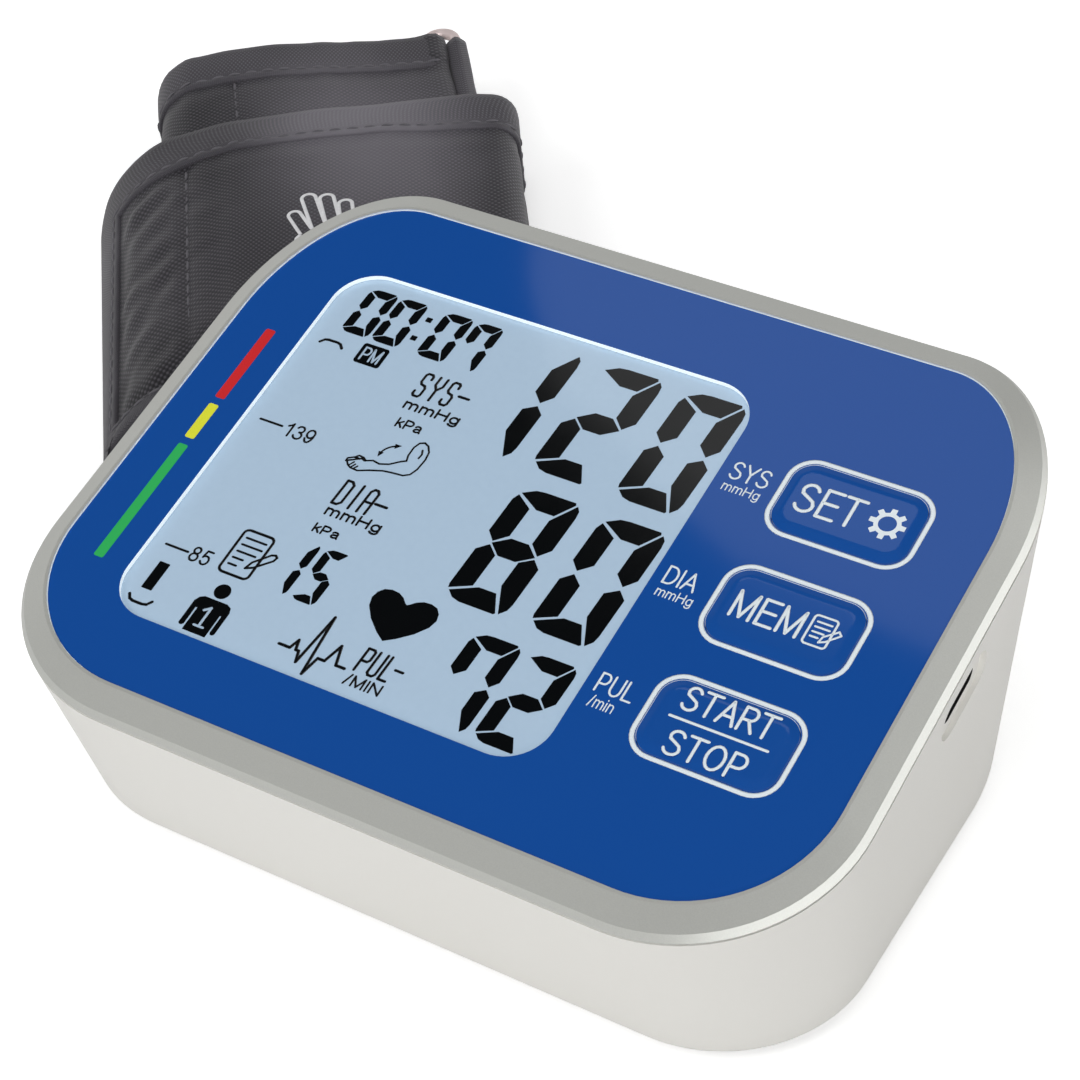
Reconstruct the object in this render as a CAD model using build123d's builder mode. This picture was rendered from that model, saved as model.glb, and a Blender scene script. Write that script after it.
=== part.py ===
from build123d import *
import os
from math import cos, radians, sin, tan

# Upper arm blood pressure monitor: a desk unit with a sloping glossy face, and its arm cuff lying behind it.
# Millimetres, +Z up. The origin is on the resting surface, at the centre of the unit's footprint;
# +X is to the user's right, and +Y away from the user.

# ---- driving dimensions: case ----
case_width = 132.0          # across the parting line, the widest place
case_depth = 104.3          # along the sloping parting line
face_tilt = 11.18           # slope of the face, degrees
face_height = 44.3          # centre of the face above the resting surface
face_back = 4.3             # the face's centre stands this far in front of the footprint's centre
seam_front_r = 26.3         # plan corners of the parting line
seam_back_rx = 21.4
seam_back_ry = 32.1
seam_drop = 2.2             # parting line below the face
seam_gap = 0.5              # shadow groove between the two shells
side_taper = 2.3            # walls draw in towards the bottom, each side
end_taper = 10.5            # the footprint is this much shorter, front to back
foot_depth = case_depth - end_taper
foot_front_r = 22.2
foot_back_r = 37.0
wall = 2.2
bottom_edge_r = 1.8
foot_height = 1.0
bezel_side = 4.25           # silver frame, seen from above
bezel_front = 4.9
lip_width = 0.5             # raised rim round the face
lip_height = 0.3
deck = 2.0                  # plate that carries face, keys and display
skirt_wall = 1.4
skirt_depth = 2.6
skirt_inset = 1.0           # keeps the skirt off the leaning back wall
fit_gap = 0.15

# ---- driving dimensions: face, display and keys ----
face_sheet = 0.8
window_width = 70.8
window_height = 69.3
window_r = 6.8
window_x = -14.1
window_y = -1.4
glass_border = 1.6          # display glass beyond the window, each side
contact_ledge = 4.0         # display glass beyond the window, at its terminals
glass = 2.6
guide = 3.0
key_width = 20.4
key_height = 12.3
key_r = 3.4
key_gap = 0.10
key_x = 41.6
key_middle_y = -1.4
key_pitch = 19.8
key_proud = 0.35            # the cap is a low pillow, flush at its edge
key_bevel = 1.3
key_edge_r = 3.0
key_travel = 0.5
key_flange = 1.0
board = 1.6
board_depth = 10.0          # board's top below the face
board_inset = 14.0
board_width = case_width - 2 * board_inset
board_height = 89.2
board_y = -2.2
board_r = 20.0
switch = 6.0
switch_height = 3.4
stem_r = 1.7
slide_gap = 0.06

# ---- driving dimensions: power, air and sound ----
cell_r = 7.1
cell_length = 50.5
cell_gap = 0.4
cell_pitch = 2 * cell_r + cell_gap
cell_count = 4
bay_wall = 1.5
bay_y = -14.0
spring_space = 4.6
door = 2.0
door_gap = 0.25
pump_y = 30.0
pump_z = 17.7
motor_r = 12.0
motor_length = 28.0
head_size = 23.0
head_length = 24.0
sleeve = 1.5
shaft_r = 1.0
air_x = -42.0
nipple_r = 1.6
tube_wall = 0.9
socket_y = 8.0
socket_bore_r = 2.05
socket_bore = 9.0
sensor_y = 18.8
usb_y = 2.1
usb_width = 8.94
usb_height = 3.26
usb_length = 7.4
boss_r = 3.25
screw_r = 1.4
screw_head_r = 2.8

# ---- driving dimensions: cuff ----
cuff_turn = 38.0            # the cuff lies turned by this much in plan
cuff_tuck = 3.176           # the case's corner is round, so the cuff comes this much nearer than its box
sleeve_length = 100.6
strap_width = 71.6
cuff_left = -56.0
strap_right = 12.4
fabric = 1.5
ply_gap = 0.5
bladder = 1.2
lining = 0.7
tunnel = 5.2
ring_wire = 2.2
ring_width = 7.5            # over the wire
ring_near = 66.8
ring_far = 178.8
ring_end_r = 2.6            # middle of the wire, at the ring's round ends
ring_slip = 0.3
pad = 0.8
pad_gap = 0.3
droop = 67.0                # slope of the strap's free end, degrees
droop_x = -46.0             # where it starts to bend down
droop_r = 22.0
flap_corner_r = 5.0
turn_low_r = 6.0            # the wound strap's two bends at its right side
turn_high_r = 4.5
hinge_gap = 0.65

os.makedirs("parts", exist_ok=True)
pieces = []


def finish(builder, name):
    """Labels a finished piece and keeps it for the export."""
    builder.part.label = name
    pieces.append(builder.part)


# ---- planes ----
slope = radians(face_tilt)
FACE = Plane(origin=(0, -face_back, face_height), x_dir=(1, 0, 0), z_dir=(0, -sin(slope), cos(slope)))
SEAM = FACE.offset(-seam_drop)
RIM = SEAM.offset(-seam_gap)
DECK = FACE.offset(-face_sheet - deck)
BOARD = FACE.offset(-board_depth)
BOTTOM = Plane.XY.offset(foot_height)
INSIDE = BOTTOM.offset(wall)

case_half = case_width / 2
foot_half = case_half - side_taper
face_half_x = case_half - bezel_side
face_half_y = case_depth / 2 - bezel_front
face_outline = (face_half_x, face_half_y, seam_front_r - 4.6, seam_back_rx - 3.9, seam_back_ry - 4.5)
seam_outline = (case_half, case_depth / 2, seam_front_r, seam_back_rx, seam_back_ry)
foot_outline = (foot_half, foot_depth / 2, foot_front_r, foot_back_r, foot_back_r)


def case_outline(shape, inset=0.0):
    """The case's plan outline: straight sides, round front corners, elliptical back corners."""
    half_x, half_y, front_r, back_rx, back_ry = [size - inset for size in shape]
    with BuildSketch() as outline:
        with BuildLine():
            EllipticalCenterArc((half_x - back_rx, half_y - back_ry), back_rx, back_ry, 0, arc_size=90)
            Line((half_x - back_rx, half_y), (back_rx - half_x, half_y))
            EllipticalCenterArc((back_rx - half_x, half_y - back_ry), back_rx, back_ry, 90, arc_size=90)
            Line((-half_x, half_y - back_ry), (-half_x, front_r - half_y))
            CenterArc((front_r - half_x, front_r - half_y), front_r, 180, 90)
            Line((front_r - half_x, -half_y), (half_x - front_r, -half_y))
            CenterArc((half_x - front_r, front_r - half_y), front_r, 270, 90)
            Line((half_x, front_r - half_y), (half_x, half_y - back_ry))
        make_face()
    return outline.sketch


def wall_x(height):
    """Distance of the side wall's outer face from the middle, at a height."""
    seam_height = face_height - seam_drop
    return foot_half + side_taper * height / seam_height


# ---- places shared by several pieces ----
key_places = {
    "set": (key_x, key_middle_y + key_pitch),
    "mem": (key_x, key_middle_y),
    "start_stop": (key_x, key_middle_y - key_pitch),
}
case_screw_places = [
    (8.7 - case_half, -24.0),
    (case_half - 10.5, -34.0),
    (31.0 - case_half, foot_depth / 2 - 8.9),
    (case_half - 28.0, foot_depth / 2 - 9.9),
]
board_screw_places = [(-22.0, 40.3), (-22.0, -44.2), (30.0, -41.0), (48.0, 34.0)]
foot_places = [(-42.0, 24.0), (42.0, 24.0), (-40.0, -37.5), (40.0, -37.5)]

bay_width = cell_count * cell_pitch
bay_length = cell_length + spring_space
bay_top = foot_height + door + 0.3 + 2 * cell_r + 0.3
cell_z = bay_top - 0.3 - cell_r
cell_places = [((place - (cell_count - 1) / 2) * cell_pitch, cell_z) for place in range(cell_count)]
door_width = bay_width + 1.6
door_length = bay_length + 2.0
hinge_y = bay_y - door_length / 2 + door / 2
hinge_z = foot_height + door / 2
hinge_pin_r = 0.6

glass_width = window_width + 2 * glass_border
glass_height = window_height + glass_border + contact_ledge
glass_y = window_y + (glass_border - contact_ledge) / 2
glass_top = face_sheet + 0.05
glass_back = glass_top + glass

boss_top = 14.0
head_seat = 8.0

# ---- base housing ----
with BuildPart() as base_housing:
    with BuildSketch(BOTTOM):
        add(case_outline(foot_outline))
    with BuildSketch(RIM):
        add(case_outline(seam_outline))
    loft(ruled=True)
    fillet(base_housing.faces().sort_by(Axis.Z)[0].edges(), bottom_edge_r)
    with BuildSketch(INSIDE):
        add(case_outline(foot_outline, wall))
    with BuildSketch(RIM.offset(0.05)):
        add(case_outline(seam_outline, wall))
    loft(ruled=True, mode=Mode.SUBTRACT)
    # battery bay, a tub open at the bottom
    with BuildSketch(BOTTOM):
        with Locations((0, bay_y)):
            Rectangle(bay_width + 2 * bay_wall + 1.6, bay_length + 2 * bay_wall + 2.0)
    extrude(amount=bay_top + bay_wall - foot_height)
    with BuildSketch(BOTTOM):
        with Locations((0, bay_y)):
            Rectangle(bay_width + 0.2, bay_length)
    extrude(amount=bay_top - foot_height, mode=Mode.SUBTRACT)
    # seat of the battery door, with its two pin holes
    with BuildSketch(BOTTOM):
        with Locations((0, bay_y)):
            Rectangle(door_width + 2 * door_gap, door_length + 2 * door_gap)
    extrude(amount=door + 0.2, mode=Mode.SUBTRACT)
    with BuildSketch(Plane.YZ.offset(-door_width / 2 - 1.6)):
        with Locations((hinge_y, hinge_z)):
            Circle(hinge_pin_r + slide_gap)
    extrude(amount=door_width + 3.2, mode=Mode.SUBTRACT)
    # screw towers
    with BuildSketch(BOTTOM):
        with Locations(*case_screw_places):
            Circle(boss_r + 0.6)
    extrude(amount=boss_top - foot_height)
    with BuildSketch(BOTTOM):
        with Locations(*case_screw_places):
            Circle(screw_head_r + 0.3)
    extrude(amount=head_seat - foot_height, mode=Mode.SUBTRACT)
    with BuildSketch(BOTTOM):
        with Locations(*case_screw_places):
            Circle(screw_r + 0.2)
    extrude(amount=boss_top - foot_height, mode=Mode.SUBTRACT)
    # recesses for the feet
    with BuildSketch(BOTTOM):
        with Locations(*foot_places):
            Circle(4.6)
    extrude(amount=0.6, mode=Mode.SUBTRACT)
    # cradle under the pump and rests under valve and manifold
    with BuildSketch(Plane.XY.offset(foot_height + wall / 2)):
        with Locations((6.0, pump_y), (20.0, pump_y)):
            Rectangle(2.0, 2 * (motor_r + sleeve) - 1.0)
    extrude(amount=pump_z - foot_height - wall / 2 - 3.0)
    with BuildSketch(Plane.YZ.offset(0)):
        with Locations((pump_y, pump_z)):
            Circle(motor_r + sleeve)
    extrude(amount=motor_length, mode=Mode.SUBTRACT)
    with BuildSketch(Plane.XY.offset(foot_height + wall / 2)):
        with Locations((air_x, 25.0), (air_x, 2.0)):
            Rectangle(9.0, 1.6)
    extrude(amount=pump_z - foot_height - wall / 2)
    with BuildSketch(Plane.XZ):
        with Locations((air_x, pump_z)):
            Circle(3.0)
    extrude(amount=40.0, both=True, mode=Mode.SUBTRACT)
    with BuildSketch(Plane.XY.offset(foot_height + wall / 2)):
        with Locations((air_x, -20.0)):
            Rectangle(9.0, 12.0)
    extrude(amount=pump_z - 6.0 - foot_height - wall / 2)
    # charging port: slot in a shallow recess, parallel to the face
    usb_centre = FACE.from_local_coords((0, usb_y, usb_height / 2 - board_depth))
    port_x = wall_x(usb_centre.Z)
    PORT = Plane(origin=(port_x - 1.0, usb_centre.Y, usb_centre.Z), x_dir=FACE.y_dir, z_dir=(1, 0, 0))
    with BuildSketch(PORT):
        SlotOverall(14.5, 6.4)
    extrude(amount=3.0, mode=Mode.SUBTRACT)
    with BuildSketch(PORT):
        SlotOverall(usb_width + 0.9, usb_height + 0.3)
    extrude(amount=-6.0, mode=Mode.SUBTRACT)
    # hole of the air socket
    with BuildSketch(Plane.YZ.offset(-case_half)):
        with Locations((socket_y, pump_z)):
            Circle(4.5)
    extrude(amount=10.0, mode=Mode.SUBTRACT)
    # sound slots under the buzzer
    with BuildSketch(BOTTOM):
        with GridLocations(0, 3.0, 1, 5):
            with Locations((46.0, 6.0)):
                SlotOverall(12.0, 1.2)
    extrude(amount=wall, mode=Mode.SUBTRACT)
finish(base_housing, "base_housing")

# ---- battery door: round hinge edge with end pins, finger latch ----
with BuildPart() as battery_door:
    with BuildSketch(Plane.XY.offset(foot_height)):
        with Locations((0, bay_y + door / 4)):
            Rectangle(door_width, door_length - door / 2)
    extrude(amount=door)
    with BuildSketch(Plane.YZ.offset(-door_width / 2)):
        with Locations((hinge_y, hinge_z)):
            Circle(door / 2)
    extrude(amount=door_width)
    with BuildSketch(Plane.YZ.offset(-door_width / 2 - 1.4)):
        with Locations((hinge_y, hinge_z)):
            Circle(hinge_pin_r)
    extrude(amount=door_width + 2.8)
    latch_y = bay_y + door_length / 2
    with BuildSketch(Plane.XY.offset(foot_height)):
        with Locations((-7.0, latch_y - 5.0), (7.0, latch_y - 5.0)):
            Rectangle(1.0, 12.0)
    extrude(amount=door, mode=Mode.SUBTRACT)
    with BuildSketch(Plane.XY.offset(foot_height)):
        with GridLocations(0, 1.6, 1, 4):
            with Locations((0, latch_y - 5.0)):
                Rectangle(9.0, 0.7)
    extrude(amount=0.5, mode=Mode.SUBTRACT)
finish(battery_door, "battery_door")

# ---- top housing: silver frame, deck under the face, skirt and screw towers ----
with BuildPart() as towers:
    with BuildSketch(Plane.XY.offset(boss_top + 0.2)):
        with Locations(*case_screw_places):
            Circle(boss_r)
    extrude(amount=face_height)
    split(bisect_by=DECK.offset(deck / 2), keep=Keep.BOTTOM)
with BuildPart() as top_housing:
    with BuildSketch(SEAM):
        add(case_outline(seam_outline))
    with BuildSketch(SEAM.offset(seam_drop * 0.5)):
        add(case_outline(seam_outline, 0.75))
    with BuildSketch(FACE.offset(lip_height)):
        add(case_outline(face_outline, -lip_width))
    loft(ruled=True)
    with BuildSketch(DECK.offset(-skirt_depth)):
        add(case_outline(seam_outline, wall + skirt_inset))
    extrude(amount=skirt_depth + deck + face_sheet - seam_drop)
    with BuildSketch(DECK):
        add(case_outline(seam_outline, wall + skirt_inset + skirt_wall))
    extrude(amount=-skirt_depth, mode=Mode.SUBTRACT)
    with BuildSketch(FACE.offset(-face_sheet)):
        add(case_outline(face_outline))
    extrude(amount=face_sheet + lip_height, mode=Mode.SUBTRACT)
    # display opening and key openings
    with BuildSketch(DECK):
        with Locations((window_x, glass_y)):
            Rectangle(glass_width + 2 * fit_gap, glass_height + 2 * fit_gap)
    extrude(amount=deck, mode=Mode.SUBTRACT)
    with BuildSketch(DECK):
        with Locations(*key_places.values()):
            RectangleRounded(key_width + 2 * key_gap, key_height + 2 * key_gap, key_r)
    extrude(amount=deck, mode=Mode.SUBTRACT)
    # towers down to the board, and to the screw towers of the base
    with BuildSketch(BOARD):
        with Locations(*board_screw_places):
            Circle(2.2)
    extrude(amount=board_depth - face_sheet - deck)
    with BuildSketch(BOARD):
        with Locations(*board_screw_places):
            Circle(0.9)
    extrude(amount=board_depth - face_sheet - deck, mode=Mode.SUBTRACT)
    add(towers.part)
    with BuildSketch(Plane.XY.offset(boss_top + 0.2)):
        with Locations(*case_screw_places):
            Circle(screw_r + 0.02)
    extrude(amount=12.0, mode=Mode.SUBTRACT)
finish(top_housing, "top_housing")

# ---- face: one glossy sheet with a display window and key openings ----
with BuildPart() as front_panel:
    with BuildSketch(FACE.offset(-face_sheet)):
        add(case_outline(face_outline, 0.1))
        with Locations((window_x, window_y)):
            RectangleRounded(window_width, window_height, window_r, mode=Mode.SUBTRACT)
        with Locations(*key_places.values()):
            RectangleRounded(key_width + 2 * key_gap, key_height + 2 * key_gap, key_r, mode=Mode.SUBTRACT)
    extrude(amount=face_sheet)
finish(front_panel, "front_panel")

# ---- keys, each with a flange under the deck and a post on its switch ----
switch_top = board_depth - switch_height
stem_top = switch_top - 1.6
for key, (place_x, place_y) in key_places.items():
    with BuildPart() as cap:
        with BuildSketch(DECK.offset(-0.05)):
            with Locations((place_x, place_y)):
                RectangleRounded(key_width, key_height, key_r - key_gap)
        extrude(amount=deck + face_sheet + 0.05)
        with BuildSketch(FACE):
            with Locations((place_x, place_y)):
                RectangleRounded(key_width, key_height, key_r - key_gap)
        with BuildSketch(FACE.offset(key_proud)):
            with Locations((place_x, place_y)):
                RectangleRounded(key_width - 2 * key_bevel, key_height - 2 * key_bevel, key_r - key_bevel)
        loft(ruled=True)
        crown = cap.faces().sort_by(Axis(FACE.origin, FACE.z_dir))[-1]
        fillet(crown.edges(), key_edge_r)
        with BuildSketch(DECK.offset(-0.05)):
            with Locations((place_x, place_y)):
                RectangleRounded(key_width + 2.0, key_height + 2.0, key_r)
        extrude(amount=-key_flange)
        with BuildSketch(DECK.offset(-0.05 - key_flange)):
            with Locations((place_x, place_y)):
                RectangleRounded(key_width - 2.4, key_height - 2.4, key_r - 1.2)
        extrude(amount=key_flange + deck, mode=Mode.SUBTRACT)
        with BuildSketch(FACE.offset(-stem_top)):
            with Locations((place_x, place_y)):
                Circle(2.0)
        extrude(until=Until.NEXT, target=cap.part)
    finish(cap, f"{key}_key")
    with BuildPart() as stem:
        with BuildSketch(FACE.offset(-stem_top)):
            with Locations((place_x, place_y)):
                Circle(stem_r)
        extrude(amount=-(switch_height - 1.3 + key_travel))
    finish(stem, f"{key}_switch_stem")

with BuildPart() as switch_bodies:
    with BuildSketch(BOARD):
        with Locations(*key_places.values()):
            Rectangle(switch, switch)
    extrude(amount=switch_height)
    with BuildSketch(BOARD.offset(0.8)):
        with Locations(*key_places.values()):
            Circle(stem_r + slide_gap)
    extrude(amount=switch_height, mode=Mode.SUBTRACT)
finish(switch_bodies, "switch_bodies")

# ---- display: glass, light guide, holder and conductive strip ----
with BuildPart() as lcd_glass:
    with BuildSketch(FACE.offset(-glass_back)):
        with Locations((window_x, glass_y)):
            Rectangle(glass_width, glass_height)
    extrude(amount=glass)
finish(lcd_glass, "lcd_glass")

guide_height = window_height + 2 * glass_border
with BuildPart() as light_guide:
    with BuildSketch(FACE.offset(-glass_back - 0.05 - guide)):
        with Locations((window_x, window_y)):
            Rectangle(glass_width - 0.4, guide_height)
    extrude(amount=guide)
finish(light_guide, "light_guide")

holder_wall = 1.1
strip_y = glass_y - glass_height / 2 + 1.2
with BuildPart() as lcd_holder:
    with BuildSketch(BOARD):
        with Locations((window_x, glass_y)):
            Rectangle(glass_width + 2 * holder_wall, glass_height + 2 * holder_wall)
    extrude(amount=board_depth - glass_back - 0.05)
    with BuildSketch(BOARD):
        with Locations((window_x, glass_y)):
            Rectangle(glass_width - 3.0, glass_height - 3.0)
    extrude(amount=board_depth, mode=Mode.SUBTRACT)
    with BuildSketch(FACE.offset(-glass_back - 0.05 - guide)):
        with Locations((window_x, glass_y)):
            Rectangle(glass_width, glass_height)
    extrude(amount=guide, mode=Mode.SUBTRACT)
    with BuildSketch(BOARD):
        with Locations((window_x, strip_y)):
            Rectangle(glass_width - 11.6, 2.3)
    extrude(amount=board_depth, mode=Mode.SUBTRACT)
finish(lcd_holder, "lcd_holder")

with BuildPart() as zebra_strip:
    with BuildSketch(BOARD):
        with Locations((window_x, strip_y)):
            Rectangle(glass_width - 12.0, 2.0)
    extrude(amount=board_depth - glass_back)
finish(zebra_strip, "zebra_strip")

# ---- main board and what is soldered to it ----
with BuildPart() as main_board:
    with BuildSketch(BOARD):
        with Locations((0, board_y)):
            RectangleRounded(board_width, board_height, board_r)
        with Locations((case_half - 12.0, usb_y)):
            Rectangle(17.0, 18.0)
        with Locations(*board_screw_places):
            Circle(1.2, mode=Mode.SUBTRACT)
    extrude(amount=-board)
    with BuildSketch(Plane.XY):
        with Locations(*case_screw_places):
            Circle(boss_r + 0.7)
    extrude(amount=2 * face_height, mode=Mode.SUBTRACT)
finish(main_board, "main_board")

with BuildPart() as processor:
    with BuildSketch(BOARD.offset(-board)):
        with Locations((8.0, -4.0)):
            Rectangle(12.0, 12.0)
    extrude(amount=-1.6)
    chamfer(processor.edges().filter_by(Axis(FACE.origin, FACE.z_dir)), 0.6)
finish(processor, "processor")

with BuildPart() as buzzer:
    with BuildSketch(BOARD.offset(-board)):
        with Locations((44.0, 8.0)):
            Circle(7.0)
    extrude(amount=-6.0)
    with BuildSketch(BOARD.offset(-board - 6.0)):
        with Locations((44.0, 8.0)):
            Circle(1.2)
    extrude(amount=2.0, mode=Mode.SUBTRACT)
finish(buzzer, "buzzer")

# ---- USB-C socket: drawn shell with a contact tongue ----
usb_mouth = PORT.offset(-0.4)
with BuildPart() as usb_socket:
    with BuildSketch(usb_mouth):
        SlotOverall(usb_width, usb_height)
    extrude(amount=-usb_length)
    with BuildSketch(usb_mouth):
        SlotOverall(usb_width - 0.6, usb_height - 0.6)
    extrude(amount=1.2 - usb_length, mode=Mode.SUBTRACT)
    with BuildSketch(usb_mouth.offset(1.2 - usb_length)):
        Rectangle(6.7, 0.7)
    extrude(amount=usb_length - 2.0)
finish(usb_socket, "usb_socket")

# ---- pressure sensor, its port pointing down at the manifold ----
sensor_face = FACE.offset(-board_depth - board - 3.6)
with BuildPart() as pressure_sensor:
    with BuildSketch(sensor_face):
        with Locations((air_x, sensor_y)):
            Rectangle(9.0, 9.0)
    extrude(amount=3.6)
    with BuildSketch(sensor_face):
        with Locations((air_x, sensor_y)):
            Circle(nipple_r)
    extrude(amount=-3.4)
    with BuildSketch(sensor_face.offset(-3.4)):
        with Locations((air_x, sensor_y)):
            Circle(0.6)
    extrude(amount=5.0, mode=Mode.SUBTRACT)
finish(pressure_sensor, "pressure_sensor")

# ---- battery cells and their contacts, poles alternating ----
bay_front = bay_y - bay_length / 2
bay_back = bay_y + bay_length / 2
contact = 0.4
for number, (place_x, place_z) in enumerate(cell_places):
    facing = 1 if number % 2 == 0 else -1
    pole_y = bay_y + facing * (bay_length / 2 - contact)
    CELL = Plane(origin=(place_x, pole_y, place_z), x_dir=(1, 0, 0), z_dir=(0, -facing, 0))
    with BuildPart() as cell:
        with BuildSketch(CELL.offset(1.5)):
            Circle(cell_r)
        extrude(amount=cell_length - 1.5)
        chamfer(cell.edges(), 0.4)
        with BuildSketch(CELL):
            Circle(2.75)
        extrude(amount=1.6)
    finish(cell, f"aa_cell_{number + 1}")

with BuildPart() as flat_contacts:
    with BuildSketch(Plane.XZ.offset(contact - bay_back)):
        for place in cell_places[0::2]:
            with Locations(place):
                Rectangle(9.0, 9.0)
    extrude(amount=-contact)
    with BuildSketch(Plane.XZ.offset(-bay_front)):
        for place in cell_places[1::2]:
            with Locations(place):
                Rectangle(9.0, 9.0)
    extrude(amount=-contact)
finish(flat_contacts, "flat_contacts")

leaf_path = [(0.2, -4.5), (0.2, 3.2), (1.4, 4.4), (3.9, 0.6), (2.2, -3.6)]
with BuildPart() as leaf_contacts:
    for number, (place_x, place_z) in enumerate(cell_places):
        facing = 1 if number % 2 == 0 else -1
        end_y = bay_front if facing == 1 else bay_back
        LEAF = Plane(origin=(place_x - facing * 3.0, end_y, place_z), x_dir=(0, facing, 0), z_dir=(facing, 0, 0))
        with BuildSketch(LEAF):
            with BuildLine():
                FilletPolyline(*leaf_path, radius=0.8)
            trace(line_width=contact)
        extrude(amount=6.0)
finish(leaf_contacts, "leaf_contacts")

# ---- pump: motor in a rubber sleeve, plate-built head, crank rotor ----
PUMP = Plane(origin=(0, pump_y, pump_z), x_dir=(0, 1, 0), z_dir=(1, 0, 0))
with BuildPart() as pump_motor:
    with BuildSketch(PUMP):
        Circle(motor_r)
    extrude(amount=motor_length)
    chamfer(pump_motor.edges(), 0.6)
    with BuildSketch(PUMP.offset(motor_length)):
        Circle(4.0)
    extrude(amount=1.6)
    with BuildSketch(PUMP.offset(motor_length)):
        with Locations((0, 8.0), (0, -8.0)):
            Rectangle(2.4, 0.5)
    extrude(amount=3.6)
    with BuildSketch(PUMP):
        Circle(shaft_r + slide_gap)
    extrude(amount=12.0, mode=Mode.SUBTRACT)
finish(pump_motor, "pump_motor")

with BuildPart() as pump_sleeve:
    with BuildSketch(PUMP.offset(1.5)):
        Circle(motor_r + sleeve)
        Circle(motor_r, mode=Mode.SUBTRACT)
    extrude(amount=motor_length - 3.0)
finish(pump_sleeve, "pump_sleeve")

with BuildPart() as pump_head:
    with BuildSketch(PUMP):
        RectangleRounded(head_size, head_size, 3.0)
    extrude(amount=-head_length)
    for joint_depth in (7.0, 15.0):
        with BuildSketch(PUMP.offset(-joint_depth)):
            Rectangle(head_size + 1.0, head_size + 1.0)
            RectangleRounded(head_size - 0.8, head_size - 0.8, 2.6, mode=Mode.SUBTRACT)
        extrude(amount=-0.5, mode=Mode.SUBTRACT)
    with BuildSketch(PUMP.offset(-head_length)):
        Circle(nipple_r)
    extrude(amount=-6.0)
    with BuildSketch(PUMP):
        Circle(9.0)
    extrude(amount=-14.0, mode=Mode.SUBTRACT)
    with BuildSketch(PUMP.offset(-14.0)):
        Circle(0.7)
    extrude(amount=-16.0, mode=Mode.SUBTRACT)
finish(pump_head, "pump_head")

with BuildPart() as pump_rotor:
    with BuildSketch(PUMP.offset(-9.0)):
        Circle(shaft_r)
    extrude(amount=19.0)
    with BuildSketch(PUMP.offset(-9.0)):
        with Locations((1.5, 0)):
            Circle(4.0)
    extrude(amount=4.0)
    with BuildSketch(PUMP.offset(-13.0)):
        with Locations((3.0, 0)):
            Circle(0.9)
    extrude(amount=4.5)
finish(pump_rotor, "pump_rotor")

# ---- release valve with its sprung plunger ----
valve_back = -10.0
valve_length = 20.0
AIR = Plane(origin=(air_x, 0, pump_z), x_dir=(1, 0, 0), z_dir=(0, -1, 0))
with BuildPart() as release_valve:
    with BuildSketch(AIR.offset(-valve_back)):
        RectangleRounded(13.0, 12.0, 1.0)
    extrude(amount=valve_length)
    with BuildSketch(AIR.offset(-valve_back)):
        Circle(nipple_r)
    extrude(amount=-4.0)
    with BuildSketch(AIR.offset(-valve_back - 4.0)):
        Circle(0.7)
    extrude(amount=8.0, mode=Mode.SUBTRACT)
    with BuildSketch(AIR.offset(valve_length - valve_back)):
        Circle(1.5 + slide_gap)
    extrude(amount=-11.0, mode=Mode.SUBTRACT)
finish(release_valve, "release_valve")

with BuildPart() as valve_plunger:
    with BuildSketch(AIR.offset(valve_length - valve_back - 9.0)):
        Circle(1.5)
    extrude(amount=10.6)
    chamfer(valve_plunger.edges(), 0.3)
finish(valve_plunger, "valve_plunger")

# ---- air manifold, its four tubes and the socket in the left wall ----
SENSOR = Plane(
    origin=FACE.from_local_coords((air_x, sensor_y, -board_depth - board - 9.2)),
    x_dir=(1, 0, 0),
    z_dir=FACE.z_dir,
)
rise_y = SENSOR.origin.Y
ACROSS = Plane(origin=(air_x, pump_y, pump_z), x_dir=(0, 1, 0), z_dir=(1, 0, 0))
OUTWARD = Plane(origin=(air_x, socket_y, pump_z), x_dir=(0, -1, 0), z_dir=(-1, 0, 0))
UPWARD = Plane(origin=(air_x, rise_y, pump_z), x_dir=(1, 0, 0), z_dir=(0, 0, 1))
with BuildPart() as air_manifold:
    with BuildSketch(AIR.offset(-pump_y - 3.0)):
        Circle(3.0)
    extrude(amount=pump_y + 1.0)
    for branch in (ACROSS, OUTWARD, UPWARD, AIR.offset(-5.0)):
        with BuildSketch(branch):
            Circle(nipple_r)
        extrude(amount=7.0)
    for branch in (ACROSS, OUTWARD, UPWARD, AIR.offset(-5.0)):
        with BuildSketch(branch):
            Circle(0.8)
        extrude(amount=8.0, mode=Mode.SUBTRACT)
    with BuildSketch(AIR.offset(-pump_y - 1.0)):
        Circle(1.2)
    extrude(amount=pump_y - 2.0, mode=Mode.SUBTRACT)
finish(air_manifold, "air_manifold")

straight_tubes = {
    "pump_tube": (ACROSS.offset(3.4), -head_length - air_x - 4.2),
    "socket_tube": (OUTWARD.offset(3.4), 8.4),
    "valve_tube": (AIR.offset(-1.6), 11.2),
}
for name, (start, length) in straight_tubes.items():
    with BuildPart() as tube:
        with BuildSketch(start):
            Circle(nipple_r + tube_wall)
            Circle(nipple_r + 0.03, mode=Mode.SUBTRACT)
        extrude(amount=length)
    finish(tube, name)

tube_start = (air_x, rise_y, pump_z + 3.4)
tube_end = SENSOR.offset(5.3).origin
with BuildPart() as sensor_tube:
    with BuildLine() as bend:
        FilletPolyline(tube_start, tuple(SENSOR.origin), tuple(tube_end), radius=8.0)
    with BuildSketch(Plane(origin=tube_start, x_dir=(1, 0, 0), z_dir=(0, 0, 1))):
        Circle(nipple_r + tube_wall)
        Circle(nipple_r + 0.03, mode=Mode.SUBTRACT)
    sweep(path=bend.wires()[0])
finish(sensor_tube, "sensor_tube")

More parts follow.
